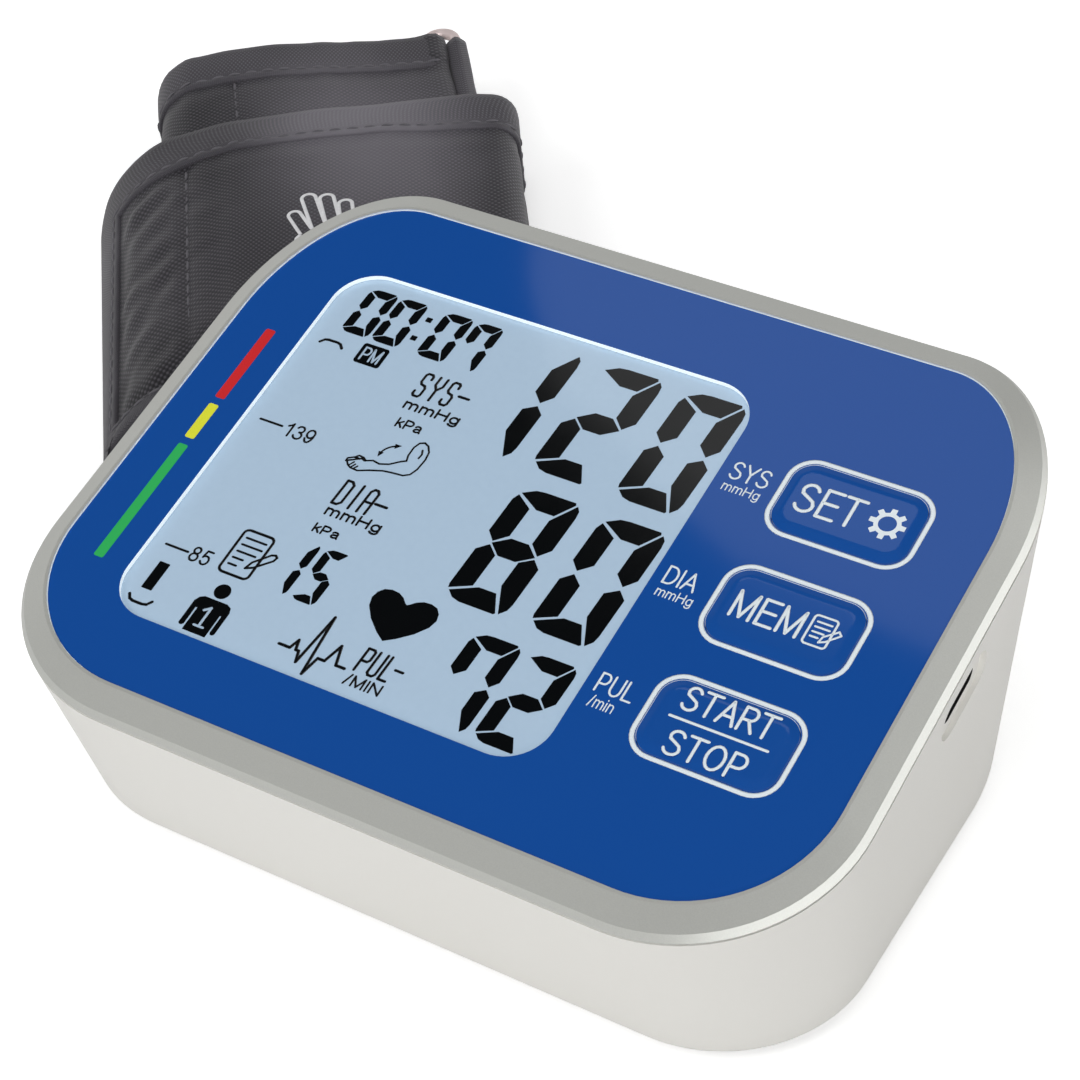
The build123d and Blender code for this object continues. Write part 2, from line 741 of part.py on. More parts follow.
socket_mouth = wall_x(pump_z) + 0.4
SOCKET = Plane(origin=(-socket_mouth, socket_y, pump_z), x_dir=(0, 1, 0), z_dir=(1, 0, 0))
with BuildPart() as air_socket:
    with BuildSketch(SOCKET):
        Circle(4.4)
    extrude(amount=socket_bore + 1.6)
    with BuildSketch(SOCKET.offset(wall + 1.2)):
        Circle(5.6)
    extrude(amount=1.2)
    with BuildSketch(SOCKET.offset(socket_bore + 1.6)):
        Circle(nipple_r)
    extrude(amount=4.2)
    with BuildSketch(SOCKET):
        Circle(0.8)
    extrude(amount=20.0, mode=Mode.SUBTRACT)
    with BuildSketch(SOCKET):
        Circle(socket_bore_r)
    extrude(amount=socket_bore, mode=Mode.SUBTRACT)
finish(air_socket, "air_socket")

# ---- screws and feet ----
with BuildPart() as case_screws:
    for place in case_screw_places:
        with BuildSketch(Plane.XY.offset(head_seat)):
            with Locations(place):
                Circle(screw_head_r)
        extrude(amount=-2.0)
        with BuildSketch(Plane.XY.offset(head_seat)):
            with Locations(place):
                Circle(screw_r)
        extrude(amount=14.0)
        with BuildSketch(Plane.XY.offset(head_seat - 2.0)):
            with Locations(place):
                Rectangle(3.2, 0.8)
                Rectangle(0.8, 3.2)
        extrude(amount=1.2, mode=Mode.SUBTRACT)
finish(case_screws, "case_screws")

with BuildPart() as board_screws:
    for place in board_screw_places:
        with BuildSketch(BOARD.offset(-board)):
            with Locations(place):
                Circle(2.2)
        extrude(amount=-1.6)
        with BuildSketch(BOARD.offset(-board)):
            with Locations(place):
                Circle(0.88)
        extrude(amount=board + 5.0)
        with BuildSketch(BOARD.offset(-board - 1.6)):
            with Locations(place):
                Rectangle(2.6, 0.6)
                Rectangle(0.6, 2.6)
        extrude(amount=0.9, mode=Mode.SUBTRACT)
finish(board_screws, "board_screws")

with BuildPart() as rubber_feet:
    with BuildSketch(Plane.XY):
        with Locations(*foot_places):
            Circle(4.4)
    extrude(amount=foot_height + 0.6)
    chamfer(rubber_feet.faces().filter_by(Axis.Z).group_by(Axis.Z)[0].edges(), 0.3)
finish(rubber_feet, "rubber_feet")

# ---- cuff: a fabric strip wound flat, drawn as a section swept along the cuff's length ----
turn = radians(cuff_turn)
cuff_near = foot_half * sin(turn) + foot_depth / 2 * cos(turn) - cuff_tuck
CUFF = Plane(origin=(0, 0, 0), x_dir=(cos(turn), sin(turn), 0), z_dir=(0, 0, 1))


def section_at(distance):
    """The cuff's section plane at a distance along it: x across the cuff, y upwards, facing the near end."""
    return Plane(
        origin=(-distance * sin(turn), distance * cos(turn), 0),
        x_dir=(cos(turn), sin(turn), 0),
        z_dir=(sin(turn), -cos(turn), 0),
    )


half_ply = fabric / 2
sleeve_far = cuff_near + sleeve_length
strap_far = cuff_near + strap_width
wrap_low = half_ply
tube_low = wrap_low + fabric + ply_gap
bladder_z = tube_low + half_ply
lining_z = bladder_z + bladder
tunnel_z = lining_z + lining
tube_high = tunnel_z + tunnel + half_ply
ring_fold = ring_wire / 2 + ring_slip + half_ply
strap_back = tube_high + 2 * ring_fold
pad_z = strap_back + half_ply
hook_z = pad_z + pad + pad_gap
flap_z = hook_z + pad + half_ply
tube_r = (tube_high - tube_low) / 2
wrap_r = (strap_back - wrap_low) / 2
outer_x = cuff_left + half_ply + wrap_r
tube_x = outer_x + 1.8
turn_x = strap_right - half_ply
hinge_x = 2.5
fold_x = -1.9
tube_end_x = 1.0
join_x = -20.0
hinge_end_x = hinge_x + half_ply + hinge_gap

with BuildPart() as cuff_sleeve:
    with BuildSketch(section_at(sleeve_far)):
        with BuildLine():
            Line((tube_end_x, tube_low), (tube_x, tube_low))
            CenterArc((tube_x, tube_low + tube_r), tube_r, 90, 180)
            Line((tube_x, tube_high), (fold_x, tube_high))
            CenterArc((fold_x, tube_high + ring_fold), ring_fold, -90, 180)
            Line((fold_x, strap_back), (outer_x, strap_back))
            CenterArc((outer_x, wrap_low + wrap_r), wrap_r, 90, 180)
            Line((outer_x, wrap_low), (join_x, wrap_low))
        trace(line_width=fabric)
    extrude(amount=sleeve_length)
    with BuildSketch(section_at(strap_far)):
        with BuildLine():
            Line((join_x - 0.5, wrap_low), (turn_x - turn_low_r, wrap_low))
            CenterArc((turn_x - turn_low_r, wrap_low + turn_low_r), turn_low_r, -90, 90)
            Line((turn_x, wrap_low + turn_low_r), (turn_x, flap_z - turn_high_r))
            CenterArc((turn_x - turn_high_r, flap_z - turn_high_r), turn_high_r, 0, 90)
            Line((turn_x - turn_high_r, flap_z), (hinge_end_x, flap_z))
        trace(line_width=fabric)
    extrude(amount=strap_width)
finish(cuff_sleeve, "cuff_sleeve")

lining_left = tube_x + 0.2
bladder_left = lining_left + 1.0
bladder_right = -2.0
bladder_near = cuff_near + 7.0
bladder_far = sleeve_far - 7.6
with BuildPart() as cuff_bladder:
    with BuildSketch(CUFF.offset(bladder_z)):
        with Locations(((bladder_left + bladder_right) / 2, (bladder_near + bladder_far) / 2)):
            RectangleRounded(bladder_right - bladder_left, bladder_far - bladder_near, 6.0)
    extrude(amount=bladder)
finish(cuff_bladder, "cuff_bladder")

with BuildPart() as cuff_lining:
    with BuildSketch(CUFF.offset(bladder_z)):
        with Locations((lining_left / 2, (cuff_near + sleeve_far) / 2)):
            Rectangle(-lining_left, sleeve_length - 1.0)
    extrude(amount=bladder + lining)
    with BuildSketch(CUFF.offset(bladder_z)):
        with Locations(((bladder_left + bladder_right) / 2, (bladder_near + bladder_far) / 2)):
            RectangleRounded(bladder_right - bladder_left + 0.2, bladder_far - bladder_near + 0.2, 6.0)
        with Locations((-40.0, cuff_near + 3.0)):
            Rectangle(8.4, 10.0)
    extrude(amount=bladder, mode=Mode.SUBTRACT)
finish(cuff_lining, "cuff_lining")

port_z = bladder_z + bladder / 2
with BuildPart() as bladder_port:
    with BuildSketch(CUFF.offset(bladder_z)):
        with Locations((-40.0, bladder_near - 4.3)):
            Rectangle(8.0, 8.0)
    extrude(amount=bladder)
    with BuildSketch(section_at(cuff_near - 1.0)):
        with Locations((-40.0, port_z)):
            Circle(2.0)
    extrude(amount=10.0)
    with BuildSketch(section_at(cuff_near - 4.0)):
        with Locations((-40.0, port_z)):
            Circle(1.2)
    extrude(amount=7.0, mode=Mode.SUBTRACT)
finish(bladder_port, "bladder_port")

# ring: round wire bent to a long loop, one bar in the strap's fold, the other in its tab
bar_z = tube_high + ring_fold
bar_x = fold_x + ring_width - ring_wire
RING = Plane(
    origin=CUFF.from_local_coords(((fold_x + bar_x) / 2, (ring_near + ring_far) / 2, bar_z)),
    x_dir=CUFF.x_dir,
    z_dir=CUFF.z_dir,
)
bar_half = (bar_x - fold_x) / 2
ring_half = (ring_far - ring_near - ring_wire) / 2
with BuildPart() as d_ring:
    with BuildLine(RING) as loop:
        FilletPolyline(
            (-bar_half, ring_half),
            (bar_half, ring_half),
            (bar_half, -ring_half),
            (-bar_half, -ring_half),
            radius=ring_end_r,
            close=True,
        )
    with BuildSketch(Plane(origin=loop.line @ 0, z_dir=loop.line % 0)):
        Circle(ring_wire / 2)
    sweep(path=loop.wires()[0])
finish(d_ring, "d_ring")

tab_ply = 1.0
tab_bend_r = 1.5
tab_near = cuff_near + 1.0
tab_far = sleeve_far - 0.6
leg_x = bar_x + ring_wire / 2 + 0.1 + tab_ply / 2
with BuildPart() as ring_tab:
    with BuildSketch(section_at(tab_far)):
        with BuildLine():
            Line((tube_end_x, tube_low), (leg_x - tab_bend_r, tube_low))
            CenterArc((leg_x - tab_bend_r, tube_low + tab_bend_r), tab_bend_r, -90, 90)
            Line((leg_x, tube_low + tab_bend_r), (leg_x, bar_z))
        trace(line_width=tab_ply)
        with Locations((bar_x, bar_z)):
            Circle(ring_wire / 2 + 0.1 + tab_ply)
            Circle(ring_wire / 2 + 0.1, mode=Mode.SUBTRACT)
    extrude(amount=tab_far - tab_near)
finish(ring_tab, "ring_tab")

pad_near = cuff_near + 5.0
pad_far = strap_far - 5.0
with BuildPart() as loop_pad:
    with BuildSketch(CUFF.offset(pad_z)):
        with Locations((-28.0, (pad_near + pad_far) / 2)):
            RectangleRounded(36.0, pad_far - pad_near, 3.0)
    extrude(amount=pad)
finish(loop_pad, "loop_pad")

# ---- strap flap: lies over the wound cuff, its free end drooping to the table ----
droop_angle = radians(droop)
droop_start_x = droop_x - droop_r * sin(droop_angle)
droop_start_z = flap_z - droop_r * (1 - cos(droop_angle))
tip_z = 1.0
tip_x = droop_start_x - (droop_start_z - tip_z) / tan(droop_angle)
with BuildPart() as strap_flap:
    with BuildSketch(section_at(strap_far)):
        with BuildLine():
            Line((hinge_x, flap_z), (droop_x, flap_z))
            CenterArc((droop_x, flap_z - droop_r), droop_r, 90, droop)
            Line((droop_start_x, droop_start_z), (tip_x, tip_z))
        trace(line_width=fabric)
        with Locations((hinge_x, flap_z)):
            Circle(half_ply)
    extrude(amount=strap_width)
    flap_left = tip_x - half_ply * sin(droop_angle)
    flap_right = hinge_x + 12.0
    with BuildSketch(CUFF):
        with Locations(((flap_left + flap_right) / 2, (cuff_near + strap_far) / 2)):
            RectangleRounded(flap_right - flap_left, strap_width, flap_corner_r)
    extrude(amount=2 * flap_z, mode=Mode.INTERSECT)
finish(strap_flap, "strap_flap")

with BuildPart() as hook_pad:
    with BuildSketch(CUFF.offset(hook_z)):
        with Locations((-28.0, (pad_near + pad_far) / 2)):
            RectangleRounded(32.0, pad_far - pad_near - 4.0, 3.0)
    extrude(amount=pad)
finish(hook_pad, "hook_pad")

for piece in pieces:
    export_step(piece, f"parts/{piece.label}.step")
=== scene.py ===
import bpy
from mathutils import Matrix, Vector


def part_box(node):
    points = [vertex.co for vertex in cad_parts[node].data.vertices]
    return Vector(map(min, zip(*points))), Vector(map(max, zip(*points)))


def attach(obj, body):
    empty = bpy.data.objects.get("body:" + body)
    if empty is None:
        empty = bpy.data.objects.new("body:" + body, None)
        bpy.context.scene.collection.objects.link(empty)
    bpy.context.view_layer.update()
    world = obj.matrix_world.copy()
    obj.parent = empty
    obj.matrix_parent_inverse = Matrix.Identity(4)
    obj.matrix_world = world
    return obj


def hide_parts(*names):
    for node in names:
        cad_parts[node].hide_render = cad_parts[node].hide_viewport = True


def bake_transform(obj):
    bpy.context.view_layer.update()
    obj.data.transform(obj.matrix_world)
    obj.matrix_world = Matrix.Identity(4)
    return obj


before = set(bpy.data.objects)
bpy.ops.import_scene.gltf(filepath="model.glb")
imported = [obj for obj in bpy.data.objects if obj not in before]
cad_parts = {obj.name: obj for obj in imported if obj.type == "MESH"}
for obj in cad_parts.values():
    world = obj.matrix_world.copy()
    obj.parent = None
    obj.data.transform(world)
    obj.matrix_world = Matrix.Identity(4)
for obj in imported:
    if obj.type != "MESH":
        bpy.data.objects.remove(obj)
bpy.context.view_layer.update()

import math

import bpy
from mathutils import Matrix, Vector, noise

# ---- Camera ----
# Stands in front and to the right of the desk unit, above it, and looks down past its keys to the cuff. Its
# lens is long, so the sides of the case draw together only a little.
bpy.ops.object.camera_add()
camera = bpy.context.object
camera.name = "camera"
camera_place = Vector((0.1612, -0.2398, 0.2978))
camera_right = Vector((0.857808, 0.510091, -0.063030))
camera_up = Vector((-0.302835, 0.600698, 0.739901))
camera_back = Vector((0.415279, -0.615605, 0.669756))
turn = Matrix((camera_right, camera_up, camera_back)).transposed()
camera.matrix_world = Matrix.Translation(camera_place) @ turn.to_4x4()
camera.data.sensor_width = 36
camera.data.lens = 90.58
camera.data.clip_start = 0.01
bpy.context.scene.camera = camera
bpy.context.scene.view_settings.view_transform = "Standard"

# ---- Floor, sky and lamps ----
# A pale seamless table in a light tent: bright all round, with a darker ceiling above the glossy face. Its
# paper, like every finish, is a graph of nodes, in which a value on a surface is written as a number is in
# Python.


class Signal:
    def __init__(self, graph, socket):
        self.graph = graph
        self.socket = socket

    def calculate(self, operation, first, second=0):
        return self.graph.node("ShaderNodeMath", {"operation": operation}, {0: first, 1: second})

    def __add__(self, other):
        return self.calculate("ADD", self, other)

    def __sub__(self, other):
        return self.calculate("SUBTRACT", self, other)

    def __rsub__(self, other):
        return self.calculate("SUBTRACT", other, self)

    def __mul__(self, other):
        return self.calculate("MULTIPLY", self, other)

    def __gt__(self, other):
        return self.calculate("GREATER_THAN", self, other)

    def __lt__(self, other):
        return self.calculate("LESS_THAN", self, other)

    def sine(self):
        return self.calculate("SINE", self)

    def size(self):
        return self.calculate("ABSOLUTE", self)

    def highest(self, other):
        return self.calculate("MAXIMUM", self, other)

    __radd__ = __add__
    __rmul__ = __mul__


class Graph:
    """The nodes of one shader."""

    def __init__(self, tree):
        self.tree = tree

    def feed(self, socket, value):
        if isinstance(value, Signal):
            self.tree.links.new(value.socket, socket)
        else:
            socket.default_value = value

    def node(self, kind, settings, inputs, output=0):
        node = self.tree.nodes.new(kind)
        for name, value in settings.items():
            setattr(node, name, value)
        for name, value in inputs.items():
            self.feed(node.inputs[name], value)
        return Signal(self, node.outputs[output])

    def axes(self, vector):
        """The three parts of a vector."""
        outputs = self.node("ShaderNodeSeparateXYZ", {}, {"Vector": vector}).socket.node.outputs
        return [Signal(self, outputs[number]) for number in range(3)]

    def ramp(self, value, low, high, first, last, curve="SMOOTHSTEP"):
        """First where the value is low, last where it is high, and a smooth step between."""
        spans = {"Value": value, "From Min": low, "From Max": high, "To Min": first, "To Max": last}
        return self.node("ShaderNodeMapRange", {"interpolation_type": curve}, spans)


class Finish(Graph):
    """A procedural material, built round one Principled shader."""

    def __init__(self, name, color, roughness, **constants):
        self.material = bpy.data.materials.new(name)
        self.material.use_nodes = True
        super().__init__(self.material.node_tree)
        self.shader = self.tree.nodes["Principled BSDF"]
        self.set(Base_Color=(*color, 1), Roughness=roughness, **constants)

    def set(self, **sockets):
        for name, value in sockets.items():
            self.feed(self.shader.inputs[name.replace("_", " ")], value)

    def texture(self, output):
        return self.node("ShaderNodeTexCoord", {}, {}, output)

    def facing(self):
        """The three parts of the surface's direction."""
        return self.axes(self.node("ShaderNodeNewGeometry", {}, {}, "Normal"))

    def noise(self, scale, detail=2):
        inputs = {"Vector": self.texture("Object"), "Scale": scale, "Detail": detail}
        return self.node("ShaderNodeTexNoise", {}, inputs)

    def mix(self, amount, first, second):
        colors = [color if isinstance(color, Signal) else (*color, 1) for color in (first, second)]
        return self.node("ShaderNodeMix", {"data_type": "RGBA"}, {0: amount, 6: colors[0], 7: colors[1]}, 2)

    def paint(self, amount, first, second):
        """Colours the surface first where the amount is nought, and second where it is one."""
        self.set(Base_Color=self.mix(amount, first, second))

    def bump(self, height, distance, strength=1):
        inputs = {"Height": height, "Distance": distance, "Strength": strength}
        self.set(Normal=self.node("ShaderNodeBump", {}, inputs))

    def cloud(self, scale, low, span, detail=2):
        """Makes the roughness drift over the surface, from low by up to the span."""
        drift = self.noise(scale, detail)
        self.set(Roughness=low + span * drift)
        return drift


def shade(red, green, blue):
    """A display colour from 0 to 255, as the shader's linear colour."""
    return tuple(
        (part / 255 / 12.92) if part < 10.3 else ((part / 255 + 0.055) / 1.055) ** 2.4
        for part in (red, green, blue)
    )


bpy.ops.mesh.primitive_plane_add(size=6)
floor = bpy.context.object
floor.name = "floor"
floor_paper = Finish("floor_paper", shade(238, 238, 238), 0.9, Specular_IOR_Level=0)
seen = floor_paper.node("ShaderNodeLightPath", {}, {}, "Is Camera Ray")
glow = floor_paper.mix(seen, (0, 0, 0), (0.44, 0.44, 0.44))
floor_paper.set(Emission_Color=glow, Emission_Strength=1)
floor.data.materials.append(floor_paper.material)

world = bpy.data.worlds.new("light_tent")
bpy.context.scene.world = world
world.use_nodes = True
tent = Graph(world.node_tree)
background = tent.tree.nodes["Background"]
background.inputs["Color"].default_value = (1, 1, 1, 1)
rays = tent.node("ShaderNodeLightPath", {}, {}).socket.node.outputs
glossy_ray, camera_ray, clear_ray = (
    Signal(tent, rays[name]) for name in ("Is Glossy Ray", "Is Camera Ray", "Is Transmission Ray")
)
rightward, _, upward = tent.axes(tent.node("ShaderNodeTexCoord", {}, {}, "Generated"))
ceiling = tent.ramp(upward, 0.25, 0.75, 0.65, 0.03)
side_screen = tent.ramp(rightward, 0.25, 0.50, 0, 3.6) * tent.ramp(upward, 0.60, 0.80, 1, 0)
shiny = tent.node("ShaderNodeMix", {}, {0: glossy_ray, 2: 0.335, 3: ceiling + side_screen})
strength = tent.node("ShaderNodeMix", {}, {0: camera_ray.highest(clear_ray), 2: shiny, 3: 1})
tent.feed(background.inputs["Strength"], strength)

for name, place, size, power in (
    ("lamp_front_left", (-0.75, -1, 1.1), 0.9, 8.1), ("lamp_front_right", (0.9, -1.1, 0.7), 0.9, 7.5),
    ("lamp_top", (0, 0, 1.6), 1, 6), ("lamp_back", (0.3, 1.3, 1), 0.9, 1.4),
):
    bpy.ops.object.light_add(type="AREA", location=place)
    lamp = bpy.context.object
    lamp.name = name
    lamp.data.size = size
    lamp.data.energy = power
    lamp.visible_glossy = False
    lamp.rotation_euler = Vector(place).to_track_quat("Z", "Y").to_euler()

# ---- Light card over the face ----
# A large white card overhead, whose edges show in the glossy face as a paler field at the upper right. Its
# outline is drawn in millimetres on the plane of the sloping face, and sent back up along the reflected
# lines of sight.
face_slope = math.radians(11.18)
face_plane = Matrix.Translation((0, -0.0043, 0.0443)) @ Matrix.Rotation(face_slope, 4, "X")


def on_face(across, along, height=0):
    return face_plane @ Vector((across / 1000, along / 1000, height / 1000))


card_edge = [
    (-26, 62), (-26, 47), (-22, 40), (-16, 33), (-9, 24), (1.4, 20), (9.5, 16),
    (21.5, 9), (32, 4.5), (61.7, 1.8), (90, 0), (90, 62),
]
card_reach = 0.9
face_up = (face_plane.to_3x3() @ Vector((0, 0, 1))).normalized()
look = (on_face(10, 20) - camera_place).normalized()
card_axis = look - 2 * look.dot(face_up) * face_up
card_middle = on_face(10, 20) + card_axis * card_reach
bpy.ops.mesh.primitive_circle_add(vertices=len(card_edge), fill_type="NGON")
card = bpy.context.object
card.name = "light_card"
for vertex, (across, along) in zip(card.data.vertices, card_edge):
    start = on_face(across, along)
    ray = (start - camera_place).normalized()
    ray = ray - 2 * ray.dot(face_up) * face_up
    vertex.co = start + ray * ((card_middle - start).dot(card_axis) / ray.dot(card_axis))
card_glow = Finish("card_glow", (0, 0, 0), 1, Specular_IOR_Level=0)
card_glow.set(Emission_Color=(1, 1, 1, 1), Emission_Strength=0.85)
card.data.materials.append(card_glow.material)
card.visible_camera = False
card.visible_diffuse = False
card.visible_shadow = False

# ---- Case ----
# Base and battery door are white ABS from a spark-eroded mould; the frame round the face is silver
# lacquered, and its inner lip is painted white as a highlight. A painted shadow runs as a dark line under the
# frame, and the walls of the port's hole through the right wall are painted near black as shade.


def cover(piece, finish):
    piece.data.materials.clear()
    piece.data.materials.append(finish.material)


def wear(finish, *node_names):
    """Gives carried-over pieces their finish."""
    for node_name in node_names:
        cover(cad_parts[node_name], finish)


def above_face(finish):
    """A surface point's height over the face, in metres."""
    _, along, height = finish.axes(finish.texture("Object"))
    return height * math.cos(face_slope) - along * math.sin(face_slope) - face_from_origin


face_from_origin = 0.04430
frame_depth, seam_shadow_band = 0.0022, 0.00028
port_straight, port_r = 0.00314, 0.00181
white_shell = Finish("white_shell", shade(232, 231, 226), 0.42)
grain = white_shell.noise(2600, 3)
white_shell.bump(grain, 0.00002, 0.35)
mould_tone_and_shade = white_shell.mix(white_shell.noise(14), shade(234, 233, 229), shade(228, 226, 220))
port_low, port_high = (Vector(corner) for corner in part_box("usb_socket"))
port_middle = (port_low + port_high) / 2
port_x, port_y, port_z = white_shell.axes(white_shell.texture("Object"))
port_along = (port_y - port_middle.y) * math.cos(face_slope) + (port_z - port_middle.z) * math.sin(face_slope)
port_up = (port_z - port_middle.z) * math.cos(face_slope) - (port_y - port_middle.y) * math.sin(face_slope)
port_over = (port_along.size() - port_straight).highest(0)
port_reach = port_over * port_over + port_up * port_up
# Painted shade: the walls of the port's hole are coloured near black, as the dark inside the slot.
port_shade_mask = (port_reach < port_r ** 2) * (port_x > port_low.x)
# Painted shadow: a dark band along the top of the base, where the frame sits on it.
painted_seam_shadow = (above_face(white_shell) + frame_depth) > -seam_shadow_band
mould_tone_and_shade = white_shell.mix(painted_seam_shadow, mould_tone_and_shade, shade(120, 119, 115))
white_shell.paint(port_shade_mask, mould_tone_and_shade, shade(10, 10, 11))
wear(white_shell, "base_housing", "battery_door")

silver_lacquer = Finish("silver_lacquer", shade(184, 185, 181), 0.34, Metallic=0.34)
flake = silver_lacquer.cloud(5200, 0.29, 0.10)
lacquer = silver_lacquer.mix(flake, shade(181, 182, 177), shade(195, 196, 191))
wall = silver_lacquer.facing()
spot = silver_lacquer.axes(silver_lacquer.texture("Object"))
# Painted highlight: the frame's inner walls round the face are coloured near white, as a bright lip.
inward = (wall[0] * spot[0] + wall[1] * spot[1] < 0) * (wall[2] < 0.6)
silver_lacquer.paint(inward, lacquer, shade(238, 240, 240))
wear(silver_lacquer, "top_housing")

# ---- Face sheet and keys ----
# A clear sheet printed royal blue from behind; its cut edges show white and glow a little as painted light,
# and the keys are the same plastic. The display behind its window is pale blue-grey glass.
face_blue = Finish("face_blue", shade(20, 75, 153), 0.06, Specular_IOR_Level=0.42)
glowing_cut_edge = face_blue.facing()[2] < 0.5
face_blue.paint(glowing_cut_edge, shade(20, 75, 153), shade(243, 250, 252))
# Painted light: the white cut edges also glow a little, to read bright where the lamps barely reach.
face_blue.set(Emission_Color=face_blue.mix(glowing_cut_edge, (0, 0, 0), (0.26, 0.28, 0.29)), Emission_Strength=1)
face_blue.cloud(30, 0.05, 0.03, 3)
wear(face_blue, "front_panel")

key_blue = Finish("key_blue", shade(20, 76, 153), 0.10, Specular_IOR_Level=0.45)
key_blue.cloud(60, 0.08, 0.05, 3)
wear(key_blue, "set_key", "mem_key", "start_stop_key")

lcd_cell = Finish("lcd_cell", shade(174, 197, 219), 0.06, Specular_IOR_Level=0.42)
lcd_cell.paint(lcd_cell.noise(900), shade(172, 195, 217), shade(177, 200, 221))
wear(lcd_cell, "lcd_glass")

# ---- Inner parts ----
# What the case holds: dark and milky mouldings, rubber, plated steel, the lacquered board and the cells.
# Each has a plain finish, a little uneven in its shine.
for name, color, roughness, metallic, node_names in (
    ("black_plastic", (28, 28, 30), 0.5, 0, "processor buzzer pressure_sensor air_socket usb_socket "
     "bladder_port set_switch_stem mem_switch_stem start_stop_switch_stem"),
    ("pump_plastic", (48, 48, 50), 0.55, 0, "pump_head release_valve"),
    ("black_rubber", (32, 32, 33), 0.8, 0, "rubber_feet pump_sleeve zebra_strip"),
    ("plated_steel", (200, 200, 203), 0.25, 1, "pump_motor pump_rotor valve_plunger case_screws "
     "board_screws flat_contacts leaf_contacts switch_bodies"),
    ("milky_plastic", (225, 228, 230), 0.4, 0, "light_guide lcd_holder air_manifold pump_tube socket_tube "
     "valve_tube sensor_tube"),
    ("solder_mask", (22, 92, 52), 0.35, 0, "main_board"),
    ("cell_jacket", (70, 74, 78), 0.3, 0.2, "aa_cell_1 aa_cell_2 aa_cell_3 aa_cell_4"),
):
    plain_finish = Finish(name, shade(*color), roughness, Metallic=metallic)
    plain_finish.bump(plain_finish.cloud(400, roughness - 0.06, 0.12, 3), 0.00002, 0.3)
    wear(plain_finish, *node_names.split())

# ---- Display segments ----
# Black liquid-crystal segments: leaning digits of seven mitred bars, with hairline gaps between them. Like
# all that is printed or shown on the face, they are thin films, drawn flat in millimetres and laid on it.


def alone(*pieces):
    bpy.ops.object.select_all(action="DESELECT")
    for piece in pieces:
        piece.select_set(True)
    bpy.context.view_layer.objects.active = pieces[0]


def named(name):
    piece = bpy.context.object
    piece.name = name
    piece.data.name = name
    return piece


def joined(name, pieces):
    alone(*pieces)
    if len(pieces) > 1:
        bpy.ops.object.join()
    return named(name)


def modify(piece, kind, **settings):
    """Adds one modifier and applies it."""
    alone(piece)
    modifier = piece.modifiers.new(kind.lower(), kind)
    for name, value in settings.items():
        setattr(modifier, name, value)
    bpy.ops.object.modifier_apply(modifier=modifier.name)


def edit(piece, *steps):
    """Runs mesh operators, each with its settings, on the whole piece."""
    alone(piece)
    bpy.ops.object.mode_set(mode="EDIT")
    for step, settings in steps:
        bpy.ops.mesh.select_all(action="SELECT")
        step(**settings)
    bpy.ops.object.mode_set(mode="OBJECT")


def filled(outline):
    """A flat closed shape, from its corners in order."""
    bpy.ops.mesh.primitive_circle_add(vertices=len(outline), fill_type="NGON")
    shape = bpy.context.object
    for vertex, (across, along) in zip(shape.data.vertices, outline):
        vertex.co = (across, along, 0)
    return shape


def oval(across, along, wide, tall, first, last, steps=8):
    """Points of an ellipse from the first angle to the last, in degrees."""
    turns = [math.radians(first + (last - first) * step / steps) for step in range(steps + 1)]
    return [(across + wide * math.cos(turn), along + tall * math.sin(turn)) for turn in turns]


def round_corners(left, right, low, high, radius, steps=6):
    """The corners of a rectangle with rounded corners, in order."""
    outline = []
    left, right, low, high = left + radius, right - radius, low + radius, high - radius
    for number, middle in enumerate(((right, high), (left, high), (left, low), (right, low))):
        outline += oval(*middle, radius, radius, 90 * number, 90 * (number + 1), steps)
    return outline


def lay(name, shapes, height, film, finish, body, slot, across=0, along=0):
    """Joins flat shapes into one thin film and lays it on the face, at a height and moved over it."""
    piece = joined(name, shapes)
    edit(piece, (bpy.ops.mesh.remove_doubles, {"threshold": 0.002}))
    modify(piece, "SOLIDIFY", thickness=film, offset=0)
    edit(piece, (bpy.ops.mesh.normals_make_consistent, {"inside": False}))
    piece.matrix_world = face_plane @ Matrix.Scale(0.001, 4) @ Matrix.Translation((across, along, height))
    bpy.ops.object.transform_apply(location=True, rotation=True, scale=True)
    cover(piece, finish)
    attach(piece, body)


lcd_ink = Finish("lcd_ink", shade(6, 8, 10), 0.10, Specular_IOR_Level=0.45)
lcd_ink.cloud(300, 0.08, 0.06)
lcd_surface = -0.83
digit_lean = math.tan(math.radians(2.6))
digit_bars = {"0": "abcdef", "1": "bc", "2": "abged", "5": "afgcd", "7": "abcf", "8": "abcdefg", "9": "abcdfg"}
